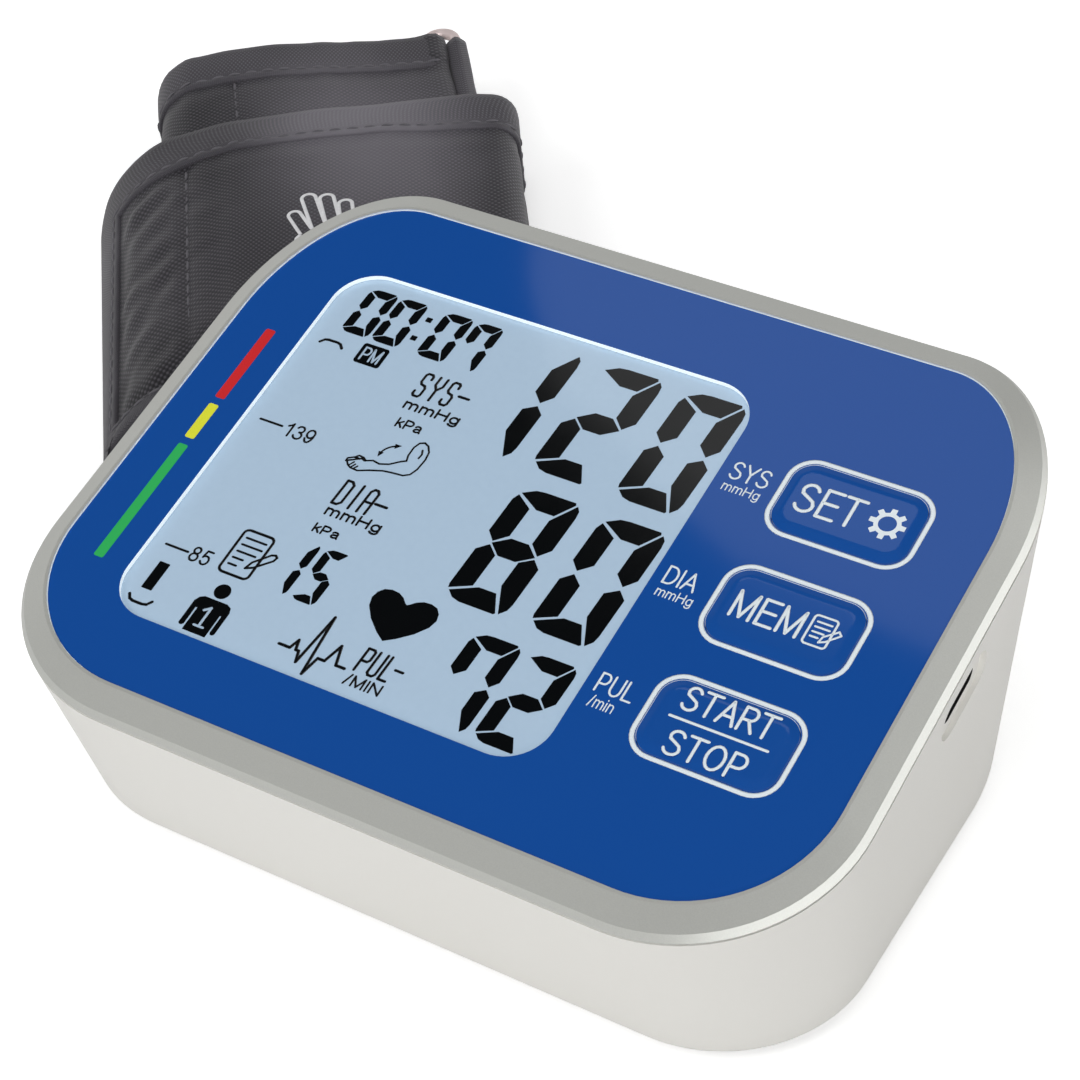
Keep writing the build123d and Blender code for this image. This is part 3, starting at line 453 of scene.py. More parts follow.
# each bar's corners: share of the width, thicknesses across, share of the height, thicknesses along
bar_corners = {
    "a": [(0, 0.20, 1, -0.40), (0, 0.75, 1, -0.06), (0, 1.2, 1, 0), (1, -0.42, 1, 0), (1, -0.36, 1, -0.12),
          (1, -0.95, 1, -1), (0, 1.30, 1, -1)],
    "b": [(1, -0.24, 1, -0.14), (1, -0.06, 1, -0.36), (1, 0, 1, -0.75), (1, 0, 0.5, 0.62), (1, -0.44, 0.5, 0.10),
          (1, -1, 0.5, 0.62), (1, -1, 1, -1.30)],
    "c": [(1, -0.44, 0.5, -0.10), (1, 0, 0.5, -0.50), (1, 0, 0, 0.75), (1, -0.06, 0, 0.40), (1, -0.32, 0, 0.08),
          (1, -1, 0, 1.45), (1, -1, 0.5, -0.50)],
    "d": [(0, 0.16, 0, 0.40), (0, 1.30, 0, 1), (1, -0.98, 0, 1), (1, -0.46, 0, 0.08), (1, -0.52, 0, 0),
          (0, 0.90, 0, 0), (0, 0.50, 0, 0.10)],
    "e": [(0, 0.46, 0.5, -0.10), (0, 1, 0.5, -0.55), (0, 1, 0, 0.98), (0, 0.06, 0, 0.50), (0, 0, 0, 0.70),
          (0, 0, 0.5, -0.55)],
    "f": [(0, 0.14, 1, -0.52), (0, 1, 1, -1.06), (0, 1, 0.5, 0.62), (0, 0.46, 0.5, 0.10), (0, 0, 0.5, 0.55),
          (0, 0, 1, -0.85)],
    "g": [(0, 0.48, 0.5, 0), (0, 1.16, 0.5, 0.52), (1, -1.10, 0.5, 0.52), (1, -0.48, 0.5, 0),
          (1, -1.16, 0.5, -0.52), (0, 1.10, 0.5, -0.52)],
}


def digit(figure, left, low, width, height, thick):
    """One seven-bar figure; the outer corners are clipped and the bars' ends are mitred."""
    bars = []
    for bar in digit_bars[figure]:
        outline = []
        for wide, thick_across, tall, thick_along in bar_corners[bar]:
            along = tall * height + thick_along * thick
            outline.append((left + wide * width + thick_across * thick + along * digit_lean, low + along))
        bars.append(filled(outline))
    return bars


segments = []
for left, low, width, height, thick, figures, pitch in (
    (-45, 21.3, 4.9, 9.2, 1.45, "00", 5.4), (-31.5, 21.3, 4.9, 9.2, 1.45, "0", 0),
    (-25.9, 21.3, 4.6, 9.2, 1.45, "7", 0), (-18.1, 8.8, 10.2, 21.6, 3.25, "1", 0),
    (-4.5, 8.8, 10.2, 21.6, 3.25, "20", 13.7), (-4.5, -15.9, 10.2, 21.5, 3.25, "80", 13.7),
    (2.6, -34.8, 7.7, 15.6, 2.35, "72", 8.8), (-28.9, -24.7, 3.6, 9.6, 1.35, "1", 0),
    (-24.4, -24.7, 4, 9.6, 1.35, "5", 0),
):
    for number, figure in enumerate(figures):
        segments += digit(figure, left + number * pitch, low, width, height, thick)
for across, along in ((-32.9, 28), (-33.25, 24)):
    segments.append(filled(round_corners(across - 0.5, across + 0.5, along - 0.45, along + 0.45, 0.1, 2)))
# how a display drawing is laid: its height, film, ink, body and slot, and its origin's place on the face
on_display = (lcd_surface, 0.05, lcd_ink, "unit", "lcd_glass", -0.4, 0.45)
lay("display_digits", segments, *on_display)

# ---- Display words and scale ----
# Fixed wording of the display, with the risk scale's ticks and brackets at its left edge. It is drawn in
# the same black as the figures, in lines of even width with round ends.


sharp_turn = math.radians(38)


def stroke(corners, width, closed=False):
    """A line of even width through its corners, round at its ends and at its sharp turns."""
    corners = list(corners) + list(corners[:1]) * closed
    parts, part = [], [Vector(corners[0])]
    for before, point, after in zip(corners, corners[1:], corners[2:]):
        part.append(Vector(point))
        if (Vector(point) - Vector(before)).angle(Vector(after) - Vector(point), 0) > sharp_turn:
            parts.append(part)
            part = [Vector(point)]
    parts.append(part + [Vector(corners[-1])])
    curve = bpy.data.curves.new("stroke", "CURVE")
    curve.dimensions = "3D"
    for part in parts:
        back = (part[0] - part[1]).normalized() * width
        ahead = (part[-1] - part[-2]).normalized() * width
        taper = ((0.5, 0.15), (0.42, 0.55), (0.24, 0.88))
        rounded = [(part[0] + back * reach, radius) for reach, radius in taper]
        rounded += [(point, 1) for point in part]
        rounded += [(part[-1] + ahead * reach, radius) for reach, radius in reversed(taper)]
        line = curve.splines.new("POLY")
        line.points.add(len(rounded) - 1)
        for point, (place, radius) in zip(line.points, rounded):
            point.co = (*place, 0, 1)
            point.radius = radius
    curve.bevel_depth = width / 2
    curve.bevel_resolution = 1
    curve.use_fill_caps = True
    shape = bpy.data.objects.new("stroke", curve)
    bpy.context.collection.objects.link(shape)
    alone(shape)
    bpy.ops.object.convert(target="MESH")
    shape = bpy.context.object
    for vertex in shape.data.vertices:
        vertex.co.z *= 0.04 / width
    return shape


def strokes(width, *lines, closed=False):
    return [stroke(line, width, closed) for line in lines]


# each letter's width and lines, in hundredths of the height of a capital
letter_lines = {
    "S": (66, [oval(33, 73, 25, 21, 20, 180) + [(12, 62), (33, 53), (54, 43)]
               + oval(33, 27, 28, 21, 10, -165)]),
    "E": (60, [[(57, 94), (6, 94), (6, 6), (59, 6)], [(6, 52), (54, 52)]]),
    "T": (62, [[(0, 94), (62, 94)], [(31, 94), (31, 6)]]),
    "M": (76, [[(6, 6), (6, 94), (38, 8), (70, 94), (70, 6)]]),
    "N": (68, [[(6, 6), (6, 94), (62, 6), (62, 94)]]),
    "A": (72, [[(3, 6), (36, 94), (69, 6)], [(15, 36), (57, 36)]]),
    "R": (68, [[(6, 6), (6, 94)] + oval(38, 71, 22, 23, 90, -90) + [(6, 48)], [(36, 48), (64, 6)]]),
    "O": (76, [oval(38, 50, 32, 44, 0, 360, 18)]),
    "P": (64, [[(6, 6), (6, 94)] + oval(34, 69, 24, 25, 90, -90) + [(6, 44)]]),
    "Y": (66, [[(2, 94), (33, 46), (64, 94)], [(33, 46), (33, 6)]]),
    "D": (70, [[(6, 6), (6, 94)] + oval(30, 50, 34, 44, 90, -90, 12) + [(6, 6)]]),
    "I": (12, [[(6, 6), (6, 94)]]),
    "U": (68, [[(6, 94)] + oval(34, 34, 28, 28, 180, 360) + [(62, 94)]]),
    "L": (56, [[(6, 94), (6, 6), (54, 6)]]),
    "H": (68, [[(6, 6), (6, 94)], [(62, 6), (62, 94)], [(6, 53), (62, 53)]]),
    "/": (30, [[(2, 4), (26, 96)]]),
    "m": (80, [[(6, 6), (6, 70)], oval(23, 48, 17, 20, 180, 0) + [(40, 6)],
               oval(57, 48, 17, 20, 180, 0) + [(74, 6)]]),
    "n": (50, [[(6, 6), (6, 70)], oval(25, 48, 19, 20, 180, 0) + [(44, 6)]]),
    "g": (54, [oval(27, 37, 21, 31, 0, 360, 14), [(48, 70)] + oval(27, -2, 21, 20, 0, -155)]),
    "k": (48, [[(6, 6), (6, 94)], [(43, 70), (6, 32)], [(20, 46), (45, 6)]]),
    "a": (54, [oval(27, 50, 19, 18, 165, 0) + [(46, 16), (50, 6)],
               [(46, 42), (22, 37), (9, 29), (7, 17), (14, 7), (27, 6), (40, 13)]]),
    "i": (12, [[(6, 6), (6, 68)], [(6, 90), (6, 93)]]),
    "1": (44, [[(8, 72), (22, 81), (31, 94), (31, 6)]]),
    "3": (54, [oval(27, 73, 20, 21, 165, -90) + oval(27, 29, 23, 24, 90, -165, 10)]),
    "5": (54, [[(48, 93), (15, 93), (9, 50)] + oval(27, 34, 22, 28, 130, -155, 10)]),
    "8": (54, [oval(27, 74, 18, 20, 0, 360, 14), oval(27, 30, 22, 24, 0, 360, 14)]),
    "9": (54, [oval(27, 66, 21, 28, 0, 360, 14), oval(26, 53, 22, 47, 0, -150)]),
}


def lettering(text, left, right, low, high, line):
    """Words in plain letters of even strokes, drawn to fill a box in millimetres on the face."""
    lines, start = [], 0
    for letter in text:
        width, forms = letter_lines[letter]
        lines += [[(start + across, along) for across, along in form] for form in forms]
        start += width + 11
    across, along = zip(*(point for form in lines for point in form))
    wide = (right - left - line) / (max(across) - min(across))
    tall = (high - low - line) / (max(along) - min(along))
    left, low = left + line / 2 - min(across) * wide, low + line / 2 - min(along) * tall
    return strokes(line, *([(left + a * wide, low + b * tall) for a, b in form] for form in lines))


words = [
    *lettering("mmHg", -27.75, -18.25, 11, 13.4, 0.34), *lettering("kPa", -27, -22.6, 8, 9.85, 0.30),
    *lettering("mmHg", -28, -18.6, -10.6, -8.2, 0.34), *lettering("kPa", -28, -23.6, -13.4, -11.7, 0.30),
    *lettering("139", -42, -37, 0.15, 2.85, 0.32), *lettering("85", -42.35, -38.9, -24.9, -22.2, 0.32),
    *lettering("/MIN", -9.6, -3.75, -34.25, -32.25, 0.28),
    *strokes(0.36, [(-46.7, 1.65), (-42.8, 1.65)], [(-46.7, -23.65), (-42.8, -23.65)]),
    *strokes(0.45, [(-46.55, 18.1), (-46, 18.75), (-45.4, 18.9), (-43.8, 18.9), (-43.2, 18.75), (-42.6, 18.1)],
             [(-46.6, -33.2), (-46.1, -33.9), (-45.5, -34.1), (-43.8, -34.1), (-43.1, -33.9), (-42.6, -33.2)],
             [(-20.75, 16.55), (-19.1, 16.55)], [(-21.75, -5.6), (-19.85, -5.6)]),
    stroke([(-3.7, -29.4), (-2.5, -29.4)], 0.40), filled(round_corners(-45.7, -43.9, -31.6, -26.6, 0.12, 2)),
]

# lines of the tall narrow letters, in hundredths of their width and height
narrow_forms = {
    "S": [[(100, 80), (100, 92), (78, 100), (22, 100), (0, 92), (0, 62), (22, 52),
           (78, 48), (100, 38), (100, 8), (78, 0), (22, 0), (0, 8), (0, 20)]],
    "Y": [[(0, 100), (0, 66), (50, 46), (100, 66), (100, 100)], [(50, 46), (50, 0)]],
    "D": [[(0, 0), (0, 100), (62, 100), (100, 88), (100, 12), (62, 0), (0, 0)]],
    "I": [[(50, 0), (50, 100)]],
    "A": [[(0, 0), (0, 88), (30, 100), (70, 100), (100, 88), (100, 0)], [(0, 46), (100, 46)]],
    "P": [[(0, 0), (0, 100), (78, 100), (100, 92), (100, 55), (78, 46), (0, 46)]],
    "U": [[(0, 100), (0, 10), (25, 0), (75, 0), (100, 10), (100, 100)]],
    "L": [[(0, 100), (0, 0), (95, 0)]],
}


def narrow_letters(text, left, low, width, height, pitch, line):
    """Tall display letters of even strokes with small corners, which lean like the figures."""
    lines = []
    for number, letter in enumerate(text):
        start = left + number * pitch
        for form in narrow_forms[letter]:
            lines.append([
                (start + (across * width + along * height * digit_lean) / 100, low + along * height / 100)
                for across, along in form
            ])
    return strokes(line, *lines)


words += narrow_letters("SYS", -27.7, 14.2, 1.25, 4.5, 2.35, 0.42)
words += narrow_letters("DIA", -28, -7.8, 1.35, 4.4, 2.15, 0.42)
words += narrow_letters("PUL", -9.2, -31.6, 1.25, 3.9, 1.95, 0.40)
lay("display_words", words, *on_display)

# ---- Display signs ----
# Arm with its cuff arrow, memo sheet and pen, user one, heart, pulse line and the PM flag, as black
# segments. The letters of the flag and the figure on the user's chest are as pale as the glass, and lie
# over the black.
signs = [
    *strokes(
        0.28,
        [(-30.2, -0.3), (-29.3, 0.2), (-28.2, 0.9), (-27.6, 0.7), (-26.4, 1.2), (-25.2, 1), (-23.8, 1.5),
         (-22.4, 2.6), (-21.7, 3), (-22, 4), (-22, 5.6), (-21.6, 6.6), (-20.9, 6.95), (-20.1, 6.6),
         (-19.4, 5.6), (-19.2, 4.2), (-19.4, 2.2), (-19.9, 1), (-20.8, 0.45), (-22.6, 0.3), (-24, 0.1),
         (-26, -0.6), (-27.6, -1.3), (-28.4, -1.25)],
        [(-28.8, 1.25), (-28, 1.15), (-27.4, 0.75)], [(-28.8, 1.25), (-29.2, 0.85), (-28.4, 0.7)],
        [(-30.2, -0.3), (-30.2, 0.2), (-29.4, 0.7), (-28.5, 0.75)], [(-20.5, 5.6), (-20.2, 4.9), (-20.3, 4.1)],
        oval(-23.6, 2.4, 2.6, 2.6, 178, 108),
    ),
    *strokes(
        0.25, [(-30.1, -0.2), (-29.5, -0.9), (-29.3, -0.8), (-28.9, -0.1)],
        [(-29.5, -0.9), (-28.9, -1.2), (-28.5, -0.4)], [(-28.9, -1.2), (-28.4, -1.25), (-28, -0.6)],
    ),
    filled([(-26.55, 3.1), (-26.2, 2.1), (-25.7, 3.05)]), filled([(-24.9, 5.15), (-23.8, 5.15), (-24.6, 4.3)]),
    stroke(round_corners(-37, -31.9, -24.6, -16.75, 0.8), 0.42, closed=True),
    stroke([(-33.3, -22.85), (-32.9, -21.6), (-30.9, -19.4), (-30.3, -19.2), (-29.9, -19.5), (-30.1, -20.2),
            (-32.2, -22.3)], 0.36, closed=True),
    *strokes(0.34, *([(-36.1, along), (end, along)] for along, end in (
        (-18.1, -32.7), (-19.35, -32.7), (-20.6, -33), (-21.8, -34.4), (-23, -34.8)))),
    stroke([(-21.4, -32), (-19.6, -32), (-19.05, -30.4), (-18.6, -32), (-18.1, -32), (-17.5, -33.75),
            (-16.35, -25.1), (-15.65, -35.1), (-14.9, -32), (-13.8, -32), (-12.85, -28.9), (-11.9, -32),
            (-10.5, -32)], 0.46),
]
half_heart = [
    (-9.6, -24.9), (-11.6, -23.2), (-13, -21.4), (-13.4, -20), (-13.1, -18.9), (-12.4, -18.1), (-11.3, -17.8),
    (-10.1, -17.9), (-9.1, -18.4), (-8.4, -19.1),
]
other_half = [(-16.1 - across, along) for across, along in reversed(half_heart)]
signs.append(filled([(-8.05, -25.9), *half_heart, (-8.05, -19.3), *other_half]))
# the user: a head, and a body with arms set off by light gaps
signs += [
    filled(oval(-34, -27.65, 1.28, 1.28, 0, 345, 23)),
    filled([(-37, -34.6), (-37, -30.5), (-36.6, -29.7), (-35.9, -29.3), (-32, -29.3), (-31.2, -29.7),
            (-30.9, -30.5), (-30.9, -34.4), (-31.1, -34.7), (-31.5, -34.7), (-31.7, -34.4), (-31.7, -31.4),
            (-31.95, -31.4), (-31.95, -35.4), (-35.85, -35.4), (-35.85, -31.4), (-36.15, -31.4), (-36.15, -34.5),
            (-36.4, -34.8), (-36.8, -34.8)]),
    filled(round_corners(-39.75, -35.2, 16.6, 20.5, 0.5)),
]
lay("display_signs", signs, *on_display)

lcd_light = Finish("lcd_light", shade(168, 190, 211), 0.10, Specular_IOR_Level=0.42)
lcd_light.cloud(300, 0.08, 0.06)
lay("display_light_marks", [
    *lettering("PM", -39.15, -35.85, 17.2, 19.9, 0.32),
    stroke([(-34.65, -31.4), (-33.85, -30.75), (-33.85, -34.1)], 0.42),
    stroke([(-34.65, -34.1), (-33.1, -34.1)], 0.36),
], lcd_surface + 0.03, 0.04, lcd_light, *on_display[3:])

# ---- Face printing ----
# White names of the three readings beside their keys, and a line round each key: a thin, slightly glossy
# ink, screen printed on the sheet.
face_white = Finish("face_white", shade(226, 235, 240), 0.14, Specular_IOR_Level=0.42)
face_white.cloud(300, 0.10, 0.06)
on_sheet = (0.01, 0.03, face_white, "unit", "blue_gloss")
lay("reading_names", [
    *lettering("SYS", 22.9, 28.9, 17.75, 21, 0.31), *lettering("mmHg", 23, 28.75, 15.1, 17.2, 0.18),
    *lettering("DIA", 22.9, 27.9, -2.1, 1.1, 0.31), *lettering("mmHg", 23, 28.6, -4.75, -2.65, 0.18),
    *lettering("PUL", 22.9, 28.6, -21.5, -18.25, 0.31), *lettering("/min", 23.25, 27, -24, -22, 0.18),
], *on_sheet)
lay("key_lines", [
    stroke(round_corners(30.85, 52.4, middle - 6.75, middle + 6.75, 3.75, 8), 0.72, closed=True)
    for middle in (18.4, -1.4, -21.2)
], *on_sheet)

# ---- Key legends ----
# White words and signs on the keys, which move with them, in the same ink as the names. The hole of the
# gear is a disc of the key's own blue.
key_top = 0.37
gear_middle = (47.3, 18.5)
gear = []
for tooth in range(8):
    for offset, reach in ((-13, 1.95), (-8.5, 2.7), (8.5, 2.7), (13, 1.95)):
        angle = tooth * 45 + offset
        gear += oval(*gear_middle, reach, reach, angle, angle, 1)[:1]
gear_hole = oval(*gear_middle, 1.3, 1.3, 0, 345, 23)
for name, body, rise, finish, shapes in (
    ("set_legend", "set_button", 0, face_white, [
        *lettering("SET", 33.7, 43.6, 15.8, 21.1, 0.54), filled(gear),
    ]),
    ("gear_hole", "set_button", 0.02, key_blue, [filled(gear_hole)]),
    ("mem_legend", "mem_button", 0, face_white, [
        *lettering("MEM", 33.9, 44.2, -3.7, 1, 0.50),
        stroke(round_corners(45.1, 48.5, -3.75, 1.1, 0.5), 0.34, closed=True),
        stroke([(47.3, -3), (47.5, -2), (49.2, -0.4), (49.7, -0.9), (48.1, -2.6)], 0.3, closed=True),
        *strokes(0.32, *([(45.8, along), (end, along)] for along, end in (
            (0.1, 47.9), (-0.75, 47.9), (-1.6, 47.4), (-2.4, 46.9)))),
    ]),
    ("start_stop_legend", "start_stop_button", 0, face_white, [
        *lettering("START", 34.9, 48.5, -19.75, -15.65, 0.46),
        *lettering("STOP", 35.85, 47.5, -26.85, -22.65, 0.46),
        stroke([(34.5, -21.1), (48.9, -21.1)], 0.42),
    ]),
):
    lay(name, shapes, key_top + rise, 0.03, finish, body, "blue_gloss")

# ---- Risk colour scale ----
# Three bars at the left of the face, green to red upwards, printed beside the display in the same thin ink
# as the names.
for name, color, low, high in (
    ("scale_red", (205, 45, 48), 2.6, 17.2), ("scale_yellow", (222, 224, 62), -5.7, 1.3),
    ("scale_green", (52, 176, 92), -29.5, -7),
):
    scale_ink = Finish(name + "_ink", shade(*color), 0.14, Specular_IOR_Level=0.42)
    scale_ink.cloud(300, 0.10, 0.06)
    bar = filled(round_corners(-55.6, -53.9, low, high, 0.35))
    lay(name, [bar], 0.01, 0.03, scale_ink, "unit", "blue_gloss")

# ---- Wound cuff ----
# The cuff is a strip of woven nylon. Its wide part is folded into a flat tube, goes round one bar of the
# ring, and is taken back over and under itself; each bend is part of one run, followed from the tube's end.
cuff_turn = math.radians(38)
cuff_lie = Matrix.Rotation(cuff_turn, 4, "Z")
cuff_near = 73
cuff_width = 100.6
cloth_thickness = 0.8
tape_width = 11.3
stitch_inset = 9.7
stitch_pitch = 3.2
thread_wide, thread_thick, thread_arch = 0.00028, 0.00022, 0.00016
thread_share = 0.36


class Run:
    """The section of a wound strip, in millimetres: straight parts and bends, one after another."""

    def __init__(self, across, height, heading):
        self.parts = []
        self.length = 0
        self.end = (across, height, math.radians(heading))

    def add(self, length, curve):
        self.parts.append((self.length, length, curve, *self.end))
        self.length += length
        self.end = self.at(self.length)
        return self

    def straight(self, length):
        return self.add(length, 0)

    def bend(self, radius, angle):
        return self.add(radius * math.radians(abs(angle)), math.copysign(1 / radius, angle))

    def at(self, distance):
        """Place across, height and heading at a distance along the strip."""
        for start, length, curve, across, height, heading in self.parts:
            if distance <= start + length + 1e-6:
                break
        step = distance - start
        if curve == 0:
            return across + step * math.cos(heading), height + step * math.sin(heading), heading
        turned = heading + step * curve
        return (
            across + (math.sin(turned) - math.sin(heading)) / curve,
            height - (math.cos(turned) - math.cos(heading)) / curve,
            turned,
        )


def close_and_face_out(piece, gap=0.00001):
    """Merges doubled points, fills open ends and turns every face outwards."""
    edit(piece, (bpy.ops.mesh.remove_doubles, {"threshold": gap}), (bpy.ops.mesh.fill_holes, {"sides": 0}),
         (bpy.ops.mesh.normals_make_consistent, {"inside": False}))


def ease(value, low, high):
    """0 below low, 1 above high, and a smooth step between."""
    share = min(max((value - low) / (high - low), 0), 1)
    return share * share * (3 - 2 * share)


def between(table, place):
    """A smooth line through a table of places and values, lowest place first."""
    if place <= table[0][0]:
        return table[0][1]
    for (low, first), (high, second) in zip(table, table[1:]):
        if place <= high:
            return first + (second - first) * ease(place, low, high)
    return table[-1][1]


def fold_noise(place):
    return noise.noise(Vector(place))


def level(*place):
    return 0


class Strip:
    """A strip of the cuff: its run, its width, and how its layers puff up and lie askew."""

    def __init__(self, run, width, puff=level, askew=level, flare=level):
        self.run = run
        self.width = width
        self.puff = puff
        self.askew = askew
        self.flare = flare

    def spot(self, along, across, proud=0):
        """A point by its distance along the strip and in from its near edge, and how far it stands out."""
        place, height, heading = self.run.at(min(max(along, 0), self.run.length))
        lift = self.puff(place, height, self.width - across)
        across -= self.flare(place, height) * (1 - across / self.width)
        place += self.askew(place, height, self.width - across)
        place += math.sin(heading) * proud
        height += lift - math.cos(heading) * proud
        return cuff_lie @ Vector((place / 1000, (cuff_near + across) / 1000, height / 1000))


def cloth(name, rows, columns, spot, length, width, thick):
    """A sheet of cloth: a grid, its points placed by their shares along and across, given a thickness."""
    bpy.ops.mesh.primitive_grid_add(x_subdivisions=rows, y_subdivisions=columns, size=1)
    piece = named(name)
    for vertex in piece.data.vertices:
        vertex.co = spot(vertex.co.x + 0.5, vertex.co.y + 0.5)
    for corner in piece.data.uv_layers.active.data:
        corner.uv = (corner.uv[0] * length, corner.uv[1] * width)
    if thick:
        modify(piece, "SOLIDIFY", thickness=thick / 1000, offset=0)
    bpy.ops.object.shade_smooth()
    return piece


def dress(piece, finish, *bodies, slot="cuff_fabric", start=None, end=None):
    """Gives a cloth piece its finish; with one body it follows that body, and with two it only has its place
    fixed.
    """
    cover(piece, finish)
    if len(bodies) == 1:
        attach(piece, bodies[0])
    else:
        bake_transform(piece)
    return piece


tape_section = [
    (11.3, 0.38), (11.15, 0.66), (10.5, 0.74), (9.95, 0.70), (9.7, 0.60), (9.4, 0.70), (8.6, 0.76), (5, 0.80),
    (2, 0.78), (0.7, 0.66), (0.1, 0.30), (0, 0), (0.1, -0.30), (0.7, -0.62), (2, -0.72), (5, -0.74),
    (8.6, -0.72), (9.4, -0.68), (9.7, -0.58), (9.95, -0.68), (10.5, -0.72), (11.15, -0.64), (11.3, -0.38),
    (11.3, 0), (11.3, 0.38),
]


def edge_line(corners, inset, step=1.2):
    """Points at an inset from a strip's edge, by its corners: (along, across, inward along, inward across)."""
    line = []
    for (along, across, in_a, in_b), (next_along, next_across, next_a, next_b) in zip(corners, corners[1:]):
        first = (along + in_a * inset, across + in_b * inset)
        last = (next_along + next_a * inset, next_across + next_b * inset)
        count = max(int(math.dist((along, across), (next_along, next_across)) / step), 1)
        for number in range(count):
            line.append(tuple(start + (end - start) * number / count for start, end in zip(first, last)))
    line.append(last)
    return line


def tape(name, strip, corners, corner_r):
    """A folded tape sewn over a strip's edge, from the edge's corners in order."""
    outer, inner = edge_line(corners, 0), edge_line(corners, tape_width)
    rounded = []
    for along, across in outer:
        for corner_a, corner_b, in_a, in_b in corners[1:-1]:
            middle_a, middle_b = corner_a + in_a * corner_r, corner_b + in_b * corner_r
            if (along - middle_a) * in_a < 0 and (across - middle_b) * in_b < 0:
                reach = math.dist((along, across), (middle_a, middle_b))
                along = middle_a + (along - middle_a) * corner_r / reach
                across = middle_b + (across - middle_b) * corner_r / reach
        rounded.append((along, across))
    last, round_last = len(outer) - 1, len(tape_section) - 1

    def spot(share, round_share):
        number = round(share * last)
        inset, proud = tape_section[round(round_share * round_last)]
        part = inset / tape_width
        (out_a, out_b), (in_a, in_b) = rounded[number], inner[number]
        ripple = 0.10 * fold_noise((number * 0.31, inset * 0.05, 4)) * part
        along, across = out_a + (in_a - out_a) * part, out_b + (in_b - out_b) * part
        return strip.spot(along, across, proud + ripple)

    length = sum(math.dist(first, second) for first, second in zip(outer, outer[1:]))
    piece = cloth(name, last, round_last, spot, length, 46, 0)
    close_and_face_out(piece)
    return piece


def stitches(name, strip, lines):
    """Lockstitches, each a short raised thread. A line gives points, how far it stands out, and its pitch."""
    made = []
    for points, proud, pitch in lines:
        walked, due = 0, pitch * 0.5
        for (along, across), (next_along, next_across) in zip(points, points[1:]):
            gap = math.dist((along, across), (next_along, next_across))
            while gap > 0 and due <= walked + gap:
                share, reach = (due - walked) / gap, thread_share * pitch / gap
                step_a, step_b = next_along - along, next_across - across
                place = (along + step_a * share, across + step_b * share)
                made.append((*place, step_a * reach, step_b * reach, proud))
                due += pitch
            walked += gap
    bpy.ops.mesh.primitive_uv_sphere_add(segments=8, ring_count=6, radius=1)
    pattern = bpy.context.object
    threads = []
    for along, across, step_a, step_b, proud in made:
        middle = strip.spot(along, across, proud)
        ahead = strip.spot(along + step_a, across + step_b, proud) - middle
        outward = (strip.spot(along, across, proud + 0.5) - middle).normalized() * (1 if proud > 0 else -1)
        aside = ahead.cross(outward).normalized() * thread_wide
        thread = pattern.copy()
        thread.data = pattern.data.copy()
        bpy.context.collection.objects.link(thread)
        for vertex in thread.data.vertices:
            forward = vertex.co.z
            rise = outward * (vertex.co.y * thread_thick + (1 - forward * forward) * thread_arch)
            vertex.co = middle + ahead * forward + aside * vertex.co.x + rise
        threads.append(thread)
    bpy.data.objects.remove(pattern)
    piece = joined(name, threads)
    bpy.ops.object.shade_smooth()
    close_and_face_out(piece, 0.000001)
    return piece


def woven(name, dark, light, pitch, roughness, depth):
    """Nylon cloth: warp and weft threads pass over each other in a plain weave, on the cloth's own UV map."""
    finish = Finish(name, light, roughness, Sheen_Weight=0.12, Sheen_Roughness=0.45, Specular_IOR_Level=0.35)
    along, across, _ = finish.axes(finish.texture("UV"))
    slub = finish.noise(320)
    warp = (along * (math.pi / pitch) + slub * 0.5).sine()
    weft = (across * (math.pi / pitch) + slub * 0.5).sine()
    # Painted sheen and shade: where a thread passes over it is coloured lighter, and the gaps darker.
    over = 0.5 + 0.5 * (warp * weft)
    gaps = warp.size() * weft.size()
    raised = 0.55 * over + 0.45 * gaps
    blotch = finish.noise(34, 3)
    # Painted pool of sheen: the cloth is coloured lighter round one spot on the cuff, where light catches its
    # curve.
    shiny_spot = finish.node("ShaderNodeMapping", {"vector_type": "TEXTURE"}, {
        "Vector": finish.texture("Object"), "Location": cuff_lie @ Vector((-0.0165, 0.132, 0.019)),
        "Rotation": (0, 0, cuff_turn), "Scale": (0.020, 0.033, 0.030),
    })
    off_spot = finish.node("ShaderNodeVectorMath", {"operation": "LENGTH"}, {"Vector": shiny_spot}, 1)
    painted_sheen = finish.ramp(off_spot, 0, 1.6, 0.80, 0, "SMOOTHERSTEP")
    amount = over * 0.50 + gaps * 0.16 + blotch * 0.55 + painted_sheen - 0.42
    finish.paint(amount, dark, light)
    finish.set(Roughness=(roughness + 0.08) - 0.16 * raised)
    finish.bump(raised, depth, 0.6)
    return finish


nylon = woven("cuff_nylon", shade(20, 19, 23), shade(106, 103, 110), 0.56, 0.56, 0.00008)
tape_weave = woven("cuff_tape_weave", shade(42, 40, 45), shade(116, 113, 120), 0.38, 0.62, 0.00004)
thread_gray = Finish("cuff_thread", shade(86, 84, 90), 0.6, Sheen_Weight=0.1)
ply = thread_gray.noise(2400)
thread_gray.bump(ply, 0.00004, 0.5)
thread_gray.paint(ply, shade(76, 74, 80), shade(100, 98, 103))

wrap_swell = [
    (-56, 0.1), (-52, 0.9), (-48, 1.6), (-40, 2.3), (-33, 2.4), (-24, 1.7), (-17.5, 0.9), (-11, 0.3), (-4, 0),
]


def wrap_puff(place, height, from_far):
    return between(wrap_swell, place) * ease(height, 2.8, 11.3)


tube_floor, tube_fold_r, tube_roof, bar_fold_r = 47, 4.3, 44.1, 2.15
wrap = Strip(
    Run(1, 2.75, 180).straight(tube_floor).bend(tube_fold_r, -180).straight(tube_roof)
    .bend(bar_fold_r, 180).straight(45.9).bend(7.45, 180).straight(27.6),
    cuff_width, wrap_puff,
)
wrap_back = tube_floor + tube_fold_r * math.pi + tube_roof + bar_fold_r * math.pi
wrap_seam = wrap_back + 38.2


